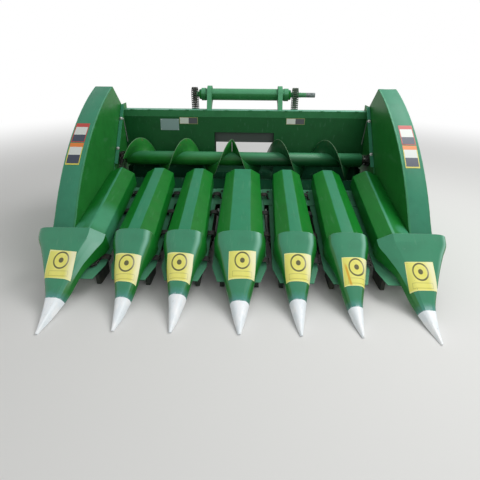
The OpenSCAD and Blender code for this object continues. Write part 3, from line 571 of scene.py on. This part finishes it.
def along_table(table, at, column):
    """A smooth line through the table's rows that never overshoots them."""
    xs = [row[0] for row in table]
    ys = [row[column] for row in table]
    steps = [(ys[i + 1] - ys[i]) / (xs[i + 1] - xs[i]) for i in range(len(xs) - 1)]
    rates = [0 if a * b <= 0 else 2 * a * b / (a + b) for a, b in zip(steps, steps[1:])]
    rates = [steps[0]] + rates + [steps[-1]]
    i = max(j for j in range(len(steps)) if xs[j] <= at or j == 0)
    w = xs[i + 1] - xs[i]
    t = min(max((at - xs[i]) / w, 0), 1)
    return (ys[i] * (1 + 2 * t) * (1 - t) ** 2 + rates[i] * w * t * (1 - t) ** 2
            + ys[i + 1] * t * t * (3 - 2 * t) + rates[i + 1] * w * t * t * (t - 1))


def outer_front(j):
    """Front of the right outer nose, where one crease parts the inner wall from the top."""
    if j < 5:
        return lerp(-1, outer_crease[0], (j / 5) ** 1.4), outer_crease[1] * j / 5
    if j < 7:
        return lerp(outer_crease[0], -0.3, (j - 5) / 2), lerp(outer_crease[1], 1, (j - 5) / 2)
    a = math.pi / 2 * (j - 7) / 7
    return lerp(-0.3, 1, math.sin(a) ** 0.45), max(math.cos(a), 0) ** 0.45


def outer_rim(j):
    """Rim of the right outer nose, j from 0 to 14, in units of its half width and height."""
    corners = hood_corners(6, 0)
    left, right = corners[0][0] - nose_gap, outer_nose_x
    rise = math.hypot(1, facet_drop)
    foot = Vector((left, hood_foot))
    knee = Vector((left, corners[1][1] + (rise - facet_drop) * nose_gap))
    ridge = Vector((corners[2][0] - (rise - 1) / facet_drop * nose_gap, hood_ridge + nose_gap))
    if j < 3:
        p = foot.lerp(knee, j / 3)
    elif j < 7:
        p = knee.lerp(ridge, (j - 3) / 4)
    else:
        a = math.pi / 2 * (j - 7) / 7
        p = Vector((lerp(ridge.x, right, math.sin(a) ** 0.2),
                    lerp(foot.y, ridge.y, max(math.cos(a), 0) ** 0.2)))
    return (p.x - (left + right) / 2) / (right - left) * 2, (p.y - foot.y) / (ridge.y - foot.y)


def nose_point(k, s, j, inset=0.0):
    """Point of nose k at s along it and j, from 0 to 14, over its arch."""
    if k == 0:
        p = nose_point(6, s, 14 - j, inset)
        return Vector((-p.x, p.y, p.z))
    t = max(s, tip_s) / nose_rim
    corners = hood_corners(k, 0)
    left = corners[0][0] - nose_gap
    right = outer_nose_x if k == 6 else corners[5][0] + nose_gap
    share = along_table(nose_profile, t, 2)
    middle = (left + right) / 2 + nose_lean[k] * (1 - t)
    half = (right - left) / 2 * share ** (1.2 if k == 6 else 1) - inset
    a = math.pi * j / 14
    e = along_table(nose_profile, t, 3)
    u = -math.copysign(abs(math.cos(a)) ** e, math.cos(a))
    v = max(math.sin(a), 0) ** e
    if k == 6:
        (fu, fv), (ru, rv) = outer_front(j), outer_rim(j)
        u, v = lerp(fu, ru, share ** 1.2), lerp(fv, rv, share ** 1.2)
    low = along_table(nose_belly, t, 1)
    high = along_table(nose_profile, t, 1) - inset
    return deck(middle + half * u, s, low + (high - low) * v)


def nose_stretch(k):
    return 0.053 if k in (0, 6) else 0.0


def deck_frame(x, s, n):
    """Frame with X across, Y up the slope and Z square to the deck."""
    return Matrix.Translation(deck(x, s, n)) @ Matrix.Rotation(slope, 4, "X")


# The nose green has a painted highlight on its right shoulder, a wider painted sky sheen on top, and a
# sprayed border.
nose_paint = green_paint("nose_paint", colour(20, 114, 38), colour(42, 134, 96), edge=0.6, sprayed_with_sheen=True,
                         coat=0.8, specular=0.2)


def white_paint():
    finish = Finish("white_paint")
    smear = finish.noise(22.0, 4.0, (1.0, 0.4, 0.4))
    base = finish.mix(smear.rise(0.35, 0.7), colour(236, 244, 248), colour(252, 254, 255))
    grime = finish.noise(60.0, 4.0).rise(0.62, 0.8) * 0.35
    base = finish.mix(grime, base, colour(150, 150, 140))
    return finish.done(base, 0.42 + grime * 0.4, smear + finish.noise(150.0, 2.0) * 0.3, 0.0012, coat=0.1)


tip_white = white_paint()
around = [j / 3 for j in range(43)]
for k in range(7):
    shape = Shape()
    stations = [lerp(cap_from[k] - cap_lap, nose_rim, i / 30) for i in range(31)]
    shape.skin([[nose_point(k, s, j) for j in around] + [nose_point(k, s, j, sheet) for j in reversed(around)]
                for s in stations])
    shape.build(f"nose_sheet_{k + 1}", f"nose_{k + 1}", [nose_paint], [f"nose_{k + 1}"],
                sharp=24, local=deck_frame(snout_x(k), cap_from[k], 0))

    shape = Shape()
    rings = []
    for i in range(15):
        t = 1 - (i / 14) ** 0.9
        place = [nose_point(k, lerp(tip_s, cap_from[k], t), j, -cap_lift) for j in around]
        back = -nose_stretch(k) * (1 - t) ** 2
        shift = deck(0, back, -0.2 * back) - deck(0, 0, 0)
        rings.append([p + shift for p in place])
    nib = sum(rings[-1], Vector()) / len(around)
    forward = deck(0, -nib_l, 0) - deck(0, 0, 0)
    rings.append([p.lerp(nib, 0.5) + forward for p in rings[-1]])
    shape.skin(rings)
    shape.build(f"nose_cap_{k + 1}", f"nose_{k + 1}", [tip_white], sharp=40)

# One yellow foil is stuck over each nose, wrapped round its arch, with a plain mark of a ring, a disc and
# an empty box. It is painted near white to the right, a painted highlight, and greener to the left, painted
# shade. Its edges are paler, and the foil of the sixth nose has a fold at the left, drawn in painted shade.
foil_w, foil_l, foil_lift = 0.250, 0.228, 0.0014
foil_places = [(-1.619, 0.532, -0.014), (-1.018, 0.520, -0.014), (-0.540, 0.536, -0.012),
               (0.030, 0.562, 0.012), (0.533, 0.550, -0.004), (1.050, 0.526, 0.004), (1.608, 0.498, 0.004)]


def yellow_foil(name, folded=False):
    finish = Finish(name)
    x, y = finish.x, finish.y
    base = finish.mix(finish.noise(7.0, 3.0).rise(0.35, 0.7), colour(234, 228, 104), colour(240, 236, 124))
    up = y - 0.034
    radius = (x * x + up * up).math("SQRT")
    ring = 1 - (radius - 0.066).math("ABSOLUTE").rise(0.0055, 0.0075)
    disc = 1 - radius.rise(0.020, 0.023)
    ink = ring.math("MAXIMUM", disc)
    base = finish.mix(ink * 0.92, base, colour(44, 50, 30))
    beside = x.math("ABSOLUTE") - 0.086
    below = (y + 0.074).math("ABSOLUTE") - 0.020
    box = 1 - beside.math("MAXIMUM", below).math("ABSOLUTE").rise(0.001, 0.003)
    base = finish.mix(box * 0.55, base, colour(120, 118, 44))
    # Near white to the right: a painted highlight.
    base = finish.mix((x + y * 0.1).rise(0.035, 0.115) * 0.7, base, colour(253, 252, 226))
    # Greener to the left: painted shade.
    base = finish.mix((1 - x.rise(-0.125, -0.03)) * 0.35, base, colour(190, 200, 84))
    if folded:
        # The fold is a darker orange line: painted shade of the fold.
        fold_shade = 1 - (x + 0.100 + (y - 0.06) * 0.22).math("ABSOLUTE").rise(0.004, 0.015)
        base = finish.mix(fold_shade * (1 - y.rise(0.02, 0.08)), base, colour(216, 164, 20))
    # A paler border along the foil's edges.
    from_side, from_end = x.math("ABSOLUTE") - foil_w / 2, y.math("ABSOLUTE") - foil_l / 2
    rim = from_side.math("MAXIMUM", from_end).rise(-0.008, -0.006)
    base = finish.mix(rim * 0.6, base, colour(248, 248, 176))
    grime = finish.noise(24.0, 4.0).rise(0.6, 0.85) * 0.35
    return finish.done(finish.mix(grime, base, colour(150, 140, 76)), 0.3 + grime, coat=0.3)


def between(keys, values, key):
    i = next((j for j in range(1, len(keys) - 1) if keys[j] >= key), len(keys) - 1)
    return lerp(values[i - 1], values[i], (key - keys[i - 1]) / (keys[i] - keys[i - 1]))


def round_arch(k, s, x, w):
    """Point above nose k at s, a distance w round its arch from where the arch passes over x."""
    line = [nose_point(k, s, j / 4, -foil_lift) for j in range(57)]
    far = [0]
    for a, b in zip(line, line[1:]):
        far.append(far[-1] + (b - a).length)
    return between(far, line, between([p.x for p in line], far, x) + w)


foil_finish = yellow_foil("yellow_foil")
folded_finish = yellow_foil("folded_foil", folded=True)
for k, (x, s, tilt) in enumerate(foil_places):
    shape = Shape()
    rings = []
    for i in range(11):
        row = [j / 20 - 0.5 for j in range(21)]
        rings.append([round_arch(k, s + foil_l * (i / 10 - 0.5) + tilt * w, x, foil_w * w) for w in row])
    shape.skin(rings, closed=False, caps=False)
    centre_n = along_table(nose_profile, s / nose_rim, 1)
    foil = folded_finish if k == 5 else foil_finish
    shape.build(f"nose_foil_{k + 1}", f"nose_{k + 1}", [foil], sharp=80,
                local=deck_frame(x, s, centre_n))

# Side shields: tall hollow guards of thin sheet outside the end plates. The front is one rolled strip,
# welded to two flat cheeks. The weld along the inner cheek, and a thin one along the outer, are painted pale
# as a painted highlight.
shield_t = 0.003
shield_top, shield_mid, shield_low = Vector((2.374, 1.684)), Vector((1.570, 1.245)), Vector((0.941, 0.580))
shield_toe = Vector((0.725, 0.320))
shield_back = [Vector((1.850, 0.285)), Vector((2.965, 0.440)), Vector((2.965, 0.700)), Vector((2.740, 0.790)),
               Vector((2.660, 1.380))]
corner_r, arc_share = 0.007, 0.85


def circle_through(a, b, c):
    d = 2 * (a.x * (b.y - c.y) + b.x * (c.y - a.y) + c.x * (a.y - b.y))
    aa, bb, cc = a.dot(a), b.dot(b), c.dot(c)
    return Vector(((aa * (b.y - c.y) + bb * (c.y - a.y) + cc * (a.y - b.y)) / d,
                   (aa * (c.x - b.x) + bb * (a.x - c.x) + cc * (b.x - a.x)) / d))


shield_centre = circle_through(shield_top, shield_mid, shield_low)
shield_r = (shield_top - shield_centre).length
top_way, low_way = shield_top - shield_centre, shield_low - shield_centre
top_angle, low_angle = math.atan2(top_way.y, top_way.x), math.atan2(low_way.y, low_way.x)


def shield_front(t, depth=0.0):
    """Point (y, z) of the front strip from the top, t = 0, down to the toe, t = 1, at a depth inside it."""
    if t < arc_share:
        a = lerp(top_angle, low_angle, t / arc_share)
        return shield_centre + Vector((math.cos(a), math.sin(a))) * (shield_r - depth)
    a = Vector((math.cos(low_angle), math.sin(low_angle)))
    low, toe = shield_low - a * depth, shield_toe + Vector((depth, 0))
    return low.lerp(toe, (t - arc_share) / (1 - arc_share))


def shield_place(side, x, p):
    return Vector((side * x, tips_y + p.x, p.y))


# The weld beads are painted pale green: a painted highlight.
bead_highlight_paint = green_paint("bead_highlight_paint", colour(60, 134, 92), colour(90, 160, 128), gloss=0.4, dust=0.1)
front_ts = [i / 60 for i in range(61)]
across = [(0, corner_r), (0.3 * corner_r, 0.3 * corner_r), (corner_r, 0), (shield_w / 2, 0.0),
          (shield_w - corner_r, 0), (shield_w - 0.3 * corner_r, 0.3 * corner_r), (shield_w, corner_r)]
for side, name in ((-1, "left"), (1, "right")):
    shape = Shape()
    rings = []
    for t in front_ts:
        wave = 0.0016 * (1 + math.sin(31 * t + side) * math.sin(17 * t + 2))
        outer = [shield_place(side, wall_x + x, shield_front(t, d + (wave if 0.02 < x < 0.2 else 0)))
                 for x, d in across]
        inner = [shield_place(side, wall_x + min(max(x, shield_t), shield_w - shield_t),
                              shield_front(t, max(d, 0) + shield_t + 0.002)) for x, d in across]
        rings.append(outer + inner[::-1])
    shape.skin(rings)
    edge = [shield_front(t, corner_r) for t in front_ts]
    outline = [(p.x, p.y) for p in edge + [shield_toe + Vector((0.04, -0.07))] + shield_back]
    for x in (wall_x, wall_x + shield_w - shield_t):
        shape.slab(outline, lambda y, z, x: shield_place(side, x, Vector((y, z))), x, x + shield_t)
    for x, r in ((wall_x + 0.011, 0.011), (wall_x + shield_w - 0.006, 0.005)):
        bead = []
        for t in front_ts[1:-6]:
            size = r * (1 + 0.2 * math.sin(140 * t) * math.sin(37 * t))
            ring = []
            for a in (i * math.pi / 4 for i in range(8)):
                depth = 0.002 - 0.003 * math.sin(a)
                ring.append(shield_place(side, x + size * math.cos(a), shield_front(t, depth)))
            bead.append(ring)
        shape.skin(bead, look=1)
    shape.build(f"shield_sheet_{name}", "header_frame", [shield_paint, bead_highlight_paint],
                [f"side_shield_{name}"])

# Two foils stand one above the other on the front of each shield: a coloured strip, a white field and a
# dark field in a coloured border, all plain.
foil_rows = ((0.02, 0, 0), (0.10, 0, 0), (0.30, 0, 1), (0.47, 0, 2), (0.485, 0, 0), (0.505, -1, -1),
             (0.52, 3, 3), (0.60, 3, 3), (0.78, 4, 1), (0.97, 4, 2), (1.0, 4, 4))
foil_tones = ((178, 58, 48), (206, 212, 206), (44, 54, 72), (214, 122, 46), (206, 196, 84))
shield_foils = [Finish("shield_foil").done(colour(*tone), 0.4) for tone in foil_tones]
shield_foil_places = ((-1, "left", 0.342, 0.594, (0.056, 0.202)), (1, "right", 0.331, 0.586, (0.051, 0.197)))
for side, name, start, end, tops in shield_foil_places:
    shape = Shape()
    done = 0.0
    for share, rim_look, look in foil_rows:
        t0, t1 = lerp(start, end, done), lerp(start, end, share)
        done = share
        if look < 0:
            continue
        drift = 0.016 if side > 0 else 0.0
        for a, b, tone in ((0, 0.06, rim_look), (0.06, 0.94, look), (0.94, 1, rim_look)):
            rings = []
            for i in range(5):
                t = lerp(t0, t1, i / 4)
                slip = drift * (t - start) / (end - start)
                rings.append([shield_place(side, wall_x + lerp(*tops, c) - slip, shield_front(t, -0.0012))
                              for c in (a, b)])
            shape.skin(rings, closed=False, caps=False, look=tone)
    shape.build(f"shield_foil_{name}", "header_frame", shield_foils, sharp=80)

# Small fittings of the wall and its ends: an empty name plate with four rivets, two plain foils, lumps of
# weld along the beam, two bolts in each end flange, a thin rod beside it, and a dark grey flap in the feeder
# opening: a sheet put there for the shade seen through it.
wall_foot, wall_head = Vector((2.552, 0.815)), Vector((2.619, 1.292))
wall_rise = (wall_head.x - wall_foot.x) / (wall_head.y - wall_foot.y)
plate_tone, white_tone, dark_tone, thin_yellow, shade_flap_tone = (
    Finish(name).done(colour(*tone), rough) for name, tone, rough in (
        ("name_plate", (118, 146, 142), 0.4), ("foil_white", (196, 204, 192), 0.4),
        ("foil_dark", (52, 58, 60), 0.4), ("foil_rim", (130, 138, 74), 0.4), ("shade_flap", (82, 90, 86), 0.7)))
bolt_zinc = steel("bolt_zinc", colour(160, 162, 164), colour(216, 216, 212), 0.1, metallic=0.7,
                  rough=0.34)


def on_wall(x, z, lift):
    return Vector((x, tips_y + wall_foot.x + (z - wall_foot.y) * wall_rise - lift, z))


def wall_patch(shape, x0, x1, z0, z1, lift, look):
    corners = ((x0, z0), (x1, z0), (x1, z1), (x0, z1))
    shape.add([on_wall(x, z, lift) for x, z in corners], [(0, 1, 2, 3)], look)


shape = Shape()
shape.slab([(-1.136, 1.115), (-0.885, 1.115), (-0.885, 1.262), (-1.136, 1.262)], on_wall, -0.001, 0.002)
for x in (-1.124, -0.897):
    for z in (1.127, 1.250):
        shape.lathe(on_wall(x, z, 0.001), (0, -1, 0), [(0, 0.006), (0.003, 0.005), (0.004, 0.002)], 10, 1)
for x0, x1, z0, z1 in ((-0.876, -0.628, 1.197, 1.284), (0.562, 0.809, 1.205, 1.285)):
    wall_patch(shape, x0, x1, z0, z1, 0.002, 4)
    wall_patch(shape, x0 + 0.006, (x0 + x1) / 2, z0 + 0.006, z1 - 0.006, 0.003, 2)
    wall_patch(shape, (x0 + x1) / 2, x1 - 0.006, z0 + 0.006, z1 - 0.006, 0.003, 3)
shape.build("wall_plates", "header_frame",
            [plate_tone, bolt_zinc, white_tone, dark_tone, thin_yellow])

shape = Shape()
chance = random.Random(4)
for i in range(13):
    x = -1.50 + i * 0.25 + chance.uniform(-0.06, 0.06)
    shape.lathe(Vector((x, tips_y + 2.620, 1.3765)), (1, 0, 0),
                [(0, 0.002), (0.008, 0.007), (0.03, 0.008), (0.045, 0.006), (0.052, 0.002)], 10)
for side in (-1, 1):
    for t in (0.755, 0.25 if side < 0 else 0.207):
        y, z = lerp(2.060, 2.566, t) - 0.008, lerp(0.795, 1.448, t)
        way = Vector((0, -0.79, 0.61))
        shape.bolt(Vector((side * (end_x - 0.022), tips_y + y, z)), way, 0.011, 1)
rod_top, rod_foot = Vector((1.602, 1.050, 1.270)), Vector((1.540, 0.930, 0.995))
for side in (-1, 1):
    a, b = (Vector((side * p.x, p.y, p.z)) for p in (rod_top, rod_foot))
    shape.lathe(a, b - a, [(0, 0.005), ((b - a).length, 0.005)], 10, 2)
    shape.lathe(a, (side, 0, 0), [(-0.004, 0.012), (0.022, 0.012)], 10, 1)
shape.slab([(-0.402, 0.948), (0.402, 0.948), (0.402, 1.089), (-0.402, 1.089)],
           lambda x, z, y: Vector((x, y, z)), 1.196, 1.201, 2)
shape.build("wall_fittings", "header_frame", [beam_paint, bolt_zinc, shade_flap_tone])

# Auger: a tube with a flight on each half, wound to opposite hands and meeting at one crest left of the
# middle. Flights are thin cut sheet, welded on, with their outer edges scraped by crop.
tube_r, flight_r, flight_t = 0.089, 0.257, 0.005
flight_pitch, flight_meet = 0.605, -0.150
auger_reach = end_x - 0.108
flight_steps = 64


def auger_paint():
    finish = Finish("auger_paint")
    from_axis = finish.node("ShaderNodeVectorMath", {"operation": "SUBTRACT"},
                            {0: finish.place, 1: tuple(auger_axis)})
    y, z = finish.split(from_axis)[1:]
    radius = (y * y + z * z).math("SQRT")
    patch = finish.noise(8.0, 4.0)
    # The left half is painted brighter and the right half darker: painted light on the left flights, painted
    # shade on the right.
    left = 1 - finish.x.rise(-0.25, 0.25)
    base = finish.mix(left, colour(18, 78, 40), colour(34, 120, 44))
    base = finish.mix(patch.rise(0.4, 0.7) * 0.4, base, colour(24, 74, 36))
    # The top of the tube is painted pale: a painted highlight.
    tube_top_sheen = (finish.out_z.rise(0.2, 0.9) * (1 - radius.rise(0.095, 0.11)))
    base = finish.mix(tube_top_sheen * 0.75, base, colour(70, 146, 104))
    rim = radius.rise(flight_r - 0.010, flight_r - 0.001) * (0.4 + patch * 0.6)
    base = finish.mix(rim, base, colour(118, 150, 118))
    rust = finish.noise(16.0, 4.0).rise(0.58, 0.72) * radius.rise(0.16, 0.25) * 0.45
    base = finish.mix(rust, base, colour(116, 96, 60))
    return finish.done(base, 0.42 + rust * 0.3, patch + finish.noise(150.0, 2.0) * 0.1, 0.0016, coat=0.1,
                       specular=0.25)


auger_finish = auger_paint()
shape = Shape()
centre = auger_axis
shape.lathe(centre - Vector((auger_reach, 0, 0)), (1, 0, 0),
            [(0, tube_r - 0.004), (0.004, tube_r), (2 * auger_reach - 0.004, tube_r),
             (2 * auger_reach, tube_r - 0.004)], 64)
for side in (-1, 1):
    reach = auger_reach - 0.020 - side * flight_meet
    count = int(reach / flight_pitch * flight_steps)
    rings = []
    for i in range(count + 1):
        a = 2 * math.pi * i / flight_steps
        x = side * (side * flight_meet + 0.004 + i * flight_pitch / flight_steps)
        ring = []
        for r, off in ((tube_r - 0.003, -1), (tube_r + 0.004, -1.8), (tube_r + 0.012, -1), (0.17, -1),
                       (flight_r - 0.001, -1), (flight_r, -0.6), (flight_r, 0.6), (flight_r - 0.001, 1),
                       (0.17, 1), (tube_r + 0.012, 1), (tube_r + 0.004, 1.8), (tube_r - 0.003, 1)):
            ring.append(centre + Vector((x + off * flight_t / 2, -math.sin(a) * r, math.cos(a) * r)))
        rings.append(ring)
    shape.skin(rings)
shape.build("auger_flights", "auger", [auger_finish], ["auger"], sharp=50)

# Ends of the auger: a stub shaft in a flanged bearing at each end, and on the right a bolted coupling with
# bright nuts.
chain_steel = steel("chain_steel", colour(30, 34, 30), colour(62, 66, 58), 0.16, metallic=0.5, rough=0.45)
shape = Shape()
for side in (-1, 1):
    out = Vector((side, 0, 0))
    shape.lathe(centre, out, [(auger_reach - 0.01, 0.025), (end_x + 0.064, 0.025)], 32)
    flange = ((0, 0.056), (0.004, 0.062), (0.022, 0.062), (0.026, 0.056))
    shape.lathe(centre, out, [(auger_reach + d, r) for d, r in flange], 40)
shape.lathe(centre, (1, 0, 0), [(end_x - 0.060, 0.058), (end_x - 0.057, 0.062), (end_x - 0.047, 0.062),
                                (end_x - 0.044, 0.058)], 40)
for i in range(4):
    a = math.radians(45 + 90 * i)
    at = centre + Vector((auger_reach, 0.048 * math.cos(a), 0.048 * math.sin(a)))
    shape.lathe(at, (1, 0, 0), [(0, 0.008), (end_x - 0.038 - auger_reach, 0.008)], 12, 1)
    shape.bolt(at + Vector((0.026, 0, 0)), (1, 0, 0), 0.008, 1, a)
shape.build("auger_couplings", "auger", [chain_steel, bolt_zinc])


# Drive chains of the auger and the shafts: side plates in pairs, joined by pins and rollers and dark with
# oil. The two upper ones have three strands, and the right one was painted over with the rest.
def chain_path(d, r, length):
    """Point at distance d round two wheels of radius r."""
    half = math.pi * r
    if d < length:
        return Vector((d, r))
    if d < length + half:
        a = math.pi / 2 - (d - length) / r
        return Vector((length, 0)) + Vector((math.cos(a), math.sin(a))) * r
    if d < 2 * length + half:
        return Vector((2 * length + half - d, -r))
    a = 3 * math.pi / 2 - (d - 2 * length - half) / r
    return Vector((math.cos(a), math.sin(a))) * r


def roller_chain(shape, r, length, pitch, high, width, place, strands=1, look=0):
    """Links round two wheels; place(u, v, w) puts them in the frame, w across the chain."""
    total = 2 * length + 2 * math.pi * r
    count = round(total / pitch / 2) * 2
    pins = [chain_path(total * i / count, r, length) for i in range(count)]
    half = width * strands / 2
    for i, a in enumerate(pins):
        b = pins[(i + 1) % count]
        way = (b - a).normalized()
        out = Vector((-way.y, way.x))
        outline = []
        for centre_point, turn in ((b, -90), (a, 90)):
            for step in range(0, 181, 45):
                angle = math.radians(turn + step)
                reach = (way * math.cos(angle) + out * math.sin(angle)) * high / 2
                outline.append(tuple(centre_point + reach))
            waist = (a + b) / 2 + out * (high * 0.32 if turn < 0 else -high * 0.32)
            outline.append(tuple(waist))
        for strand in range(strands):
            middle = width * (strand + 0.5) - half
            inner = width * (0.30 if i % 2 else 0.42)
            for low in (middle - inner - 0.003, middle + inner):
                shape.slab(outline, place, low, low + 0.003, look)
            start, end = place(a.x, a.y, middle - width * 0.28), place(a.x, a.y, middle + width * 0.28)
            shape.lathe(start, end - start, [(0, high * 0.36), (width * 0.56, high * 0.36)], 8, look)
        start, end = place(a.x, a.y, -half), place(a.x, a.y, half)
        shape.lathe(start, end - start, [(0, high * 0.17), (2 * half, high * 0.17)], 8, look)


def toothed_wheel(shape, r, teeth, width, place, hub, look=0):
    """A chain wheel about the origin of place."""
    outline = []
    for i in range(teeth):
        for share, reach in ((-0.32, -0.006), (-0.14, 0.006), (0.14, 0.006), (0.32, -0.006)):
            a = 2 * math.pi * (i + share) / teeth
            outline.append(((r + reach) * math.cos(a), (r + reach) * math.sin(a)))
    shape.slab(outline, place, -width / 2, width / 2, look)
    start = place(0, 0, -width)
    shape.lathe(start, place(0, 0, width) - start, [(0, hub), (2 * width, hub)], 24, look)


green_chain = steel("green_chain", colour(34, 60, 40), colour(60, 92, 62), 0.2, metallic=0.3, rough=0.46)
chain_w, link = 0.016, 0.038
drive_pitch, drive_high, jack_chain_w = 0.0254, 0.024, 0.023
wheel_r, jack_wheel_r = 0.076, 0.082
cross_axis, rear_axis = joint_at["cross_shaft_spin"], joint_at["rear_shaft_spin"]
jack_axis = joint_at["jackshaft_spin"]
auger_chain_x = auger_reach + 0.060
side_chain_x = wall_x + 0.070
sprocket_x = 0.688


def upright_plane(x, start, end):
    """Puts (u, v, w) in the frame: u from start to end, v square to it, w across."""
    way = Vector((0, end.y - start.y, end.z - start.z)).normalized()
    out = Vector((1, 0, 0)).cross(way)
    origin = Vector((x, start.y, start.z))
    return lambda u, v, w: origin + way * u + out * v + Vector((w, 0, 0))


def span(a, b):
    return math.hypot(a.y - b.y, a.z - b.z)


shape = Shape()
roller_chain(shape, wheel_r, span(auger_axis, cross_axis), drive_pitch, chain_w, drive_high,
             upright_plane(-auger_chain_x, auger_axis, cross_axis))
shape.build("auger_roller_chain", "header_frame", [chain_steel], ["auger_chain"])
shape = Shape()
for side in (-1, 1):
    roller_chain(shape, jack_wheel_r, span(rear_axis, jack_axis), drive_pitch, jack_chain_w, drive_high,
                 upright_plane(side * sprocket_x, rear_axis, jack_axis), 3, 1 if side > 0 else 0)
    roller_chain(shape, wheel_r, span(cross_axis, rear_axis), drive_pitch, chain_w, drive_high,
                 upright_plane(side * side_chain_x, cross_axis, rear_axis))
for side in (-1, 1):
    boss = [(0.592, 0.062), (0.600, 0.066), (0.618, 0.066), (0.626, 0.058), (0.628, 0.040)]
    shape.lathe(jack_axis, (side, 0, 0), boss, 32, 2)
shape.build("drive_roller_chains", "header_frame", [chain_steel, green_chain, panel_paint],
            ["drive_chains"])

# Gathering chains: one to the left of each row, on the deck plates, with arched lugs that reach over the
# slot and drag the stalks in. The wheels sit under the hoods at the back and in the noses at the front.
strand_x, strand_gap = 0.100, 0.120
idler_s, drive_s = 0.680, slot_rear - 0.120
lug_w, lug_h, lug_n, lug_out = 0.100, 0.032, 0.012, 0.026
lug_first, lug_step = 0.060, 0.360
strand_n = lug_n + 0.013


def lug(shape, x, s, way, scale=1.0, high=1.0, out=0.0):
    """An arched lug that starts a distance out from the strand at x and reaches sideways by way."""
    outer, inner = [], []
    for i in range(13):
        a = math.pi * i / 12
        u, v = 0.5 - 0.5 * math.copysign(abs(math.cos(a)) ** 0.8, math.cos(a)), math.sin(a) ** 0.6
        outer.append((u, v))
        inner.append((0.13 + 0.74 * u, v * 0.74))
    arch = [(x + way * (out + u * lug_w * scale), lug_n + v * lug_h * scale * high)
            for u, v in outer + inner[::-1]]
    shape.slab(arch, lambda u, n, s: deck(u, s, n), s - 0.034, s + 0.026, 1)
    near, far, foot_t = x - way * 0.012, x + way * (out + 0.02), 0.006
    foot = [(near, lug_n), (far, lug_n), (far, lug_n + foot_t), (near, lug_n + foot_t)]
    shape.slab(foot, lambda u, n, s: deck(u, s, n), s - 0.022, s + 0.022, 1)


# The lugs are near black: dark iron, darkened further as painted shade under their arches.
lug_iron_and_shade = steel("lug_iron_and_shade", colour(8, 12, 10), colour(30, 34, 28), 0.1, metallic=0.0, rough=0.6)
for i in range(6):
    shape = Shape()
    r = strand_gap / 2
    middle = row_x(i) - strand_x - r
    roller_chain(shape, r, drive_s - idler_s, link, chain_w * 1.3, 0.022,
                 lambda u, v, w: deck(middle - v, idler_s + u, strand_n + w))
    for s in (idler_s, drive_s):
        toothed_wheel(shape, r - chain_w / 2, 10, 0.010,
                      lambda u, v, w: deck(middle + u, s + v, strand_n + w), 0.024)
    count = int((drive_s - idler_s - lug_first) / lug_step) + 1
    for j in range(count):
        at = idler_s + lug_first + j * lug_step
        lug(shape, middle + r, at, 1, high=1.4 if j else 1.0, out=lug_out if j else 0.0)
        if j < count - 1:
            lug(shape, middle - r, at + lug_step / 2, -1, 0.55)
    shape.build(f"gathering_chain_{i + 1}", "header_frame", [chain_steel, lug_iron_and_shade],
                [f"chain_{i + 1}"])
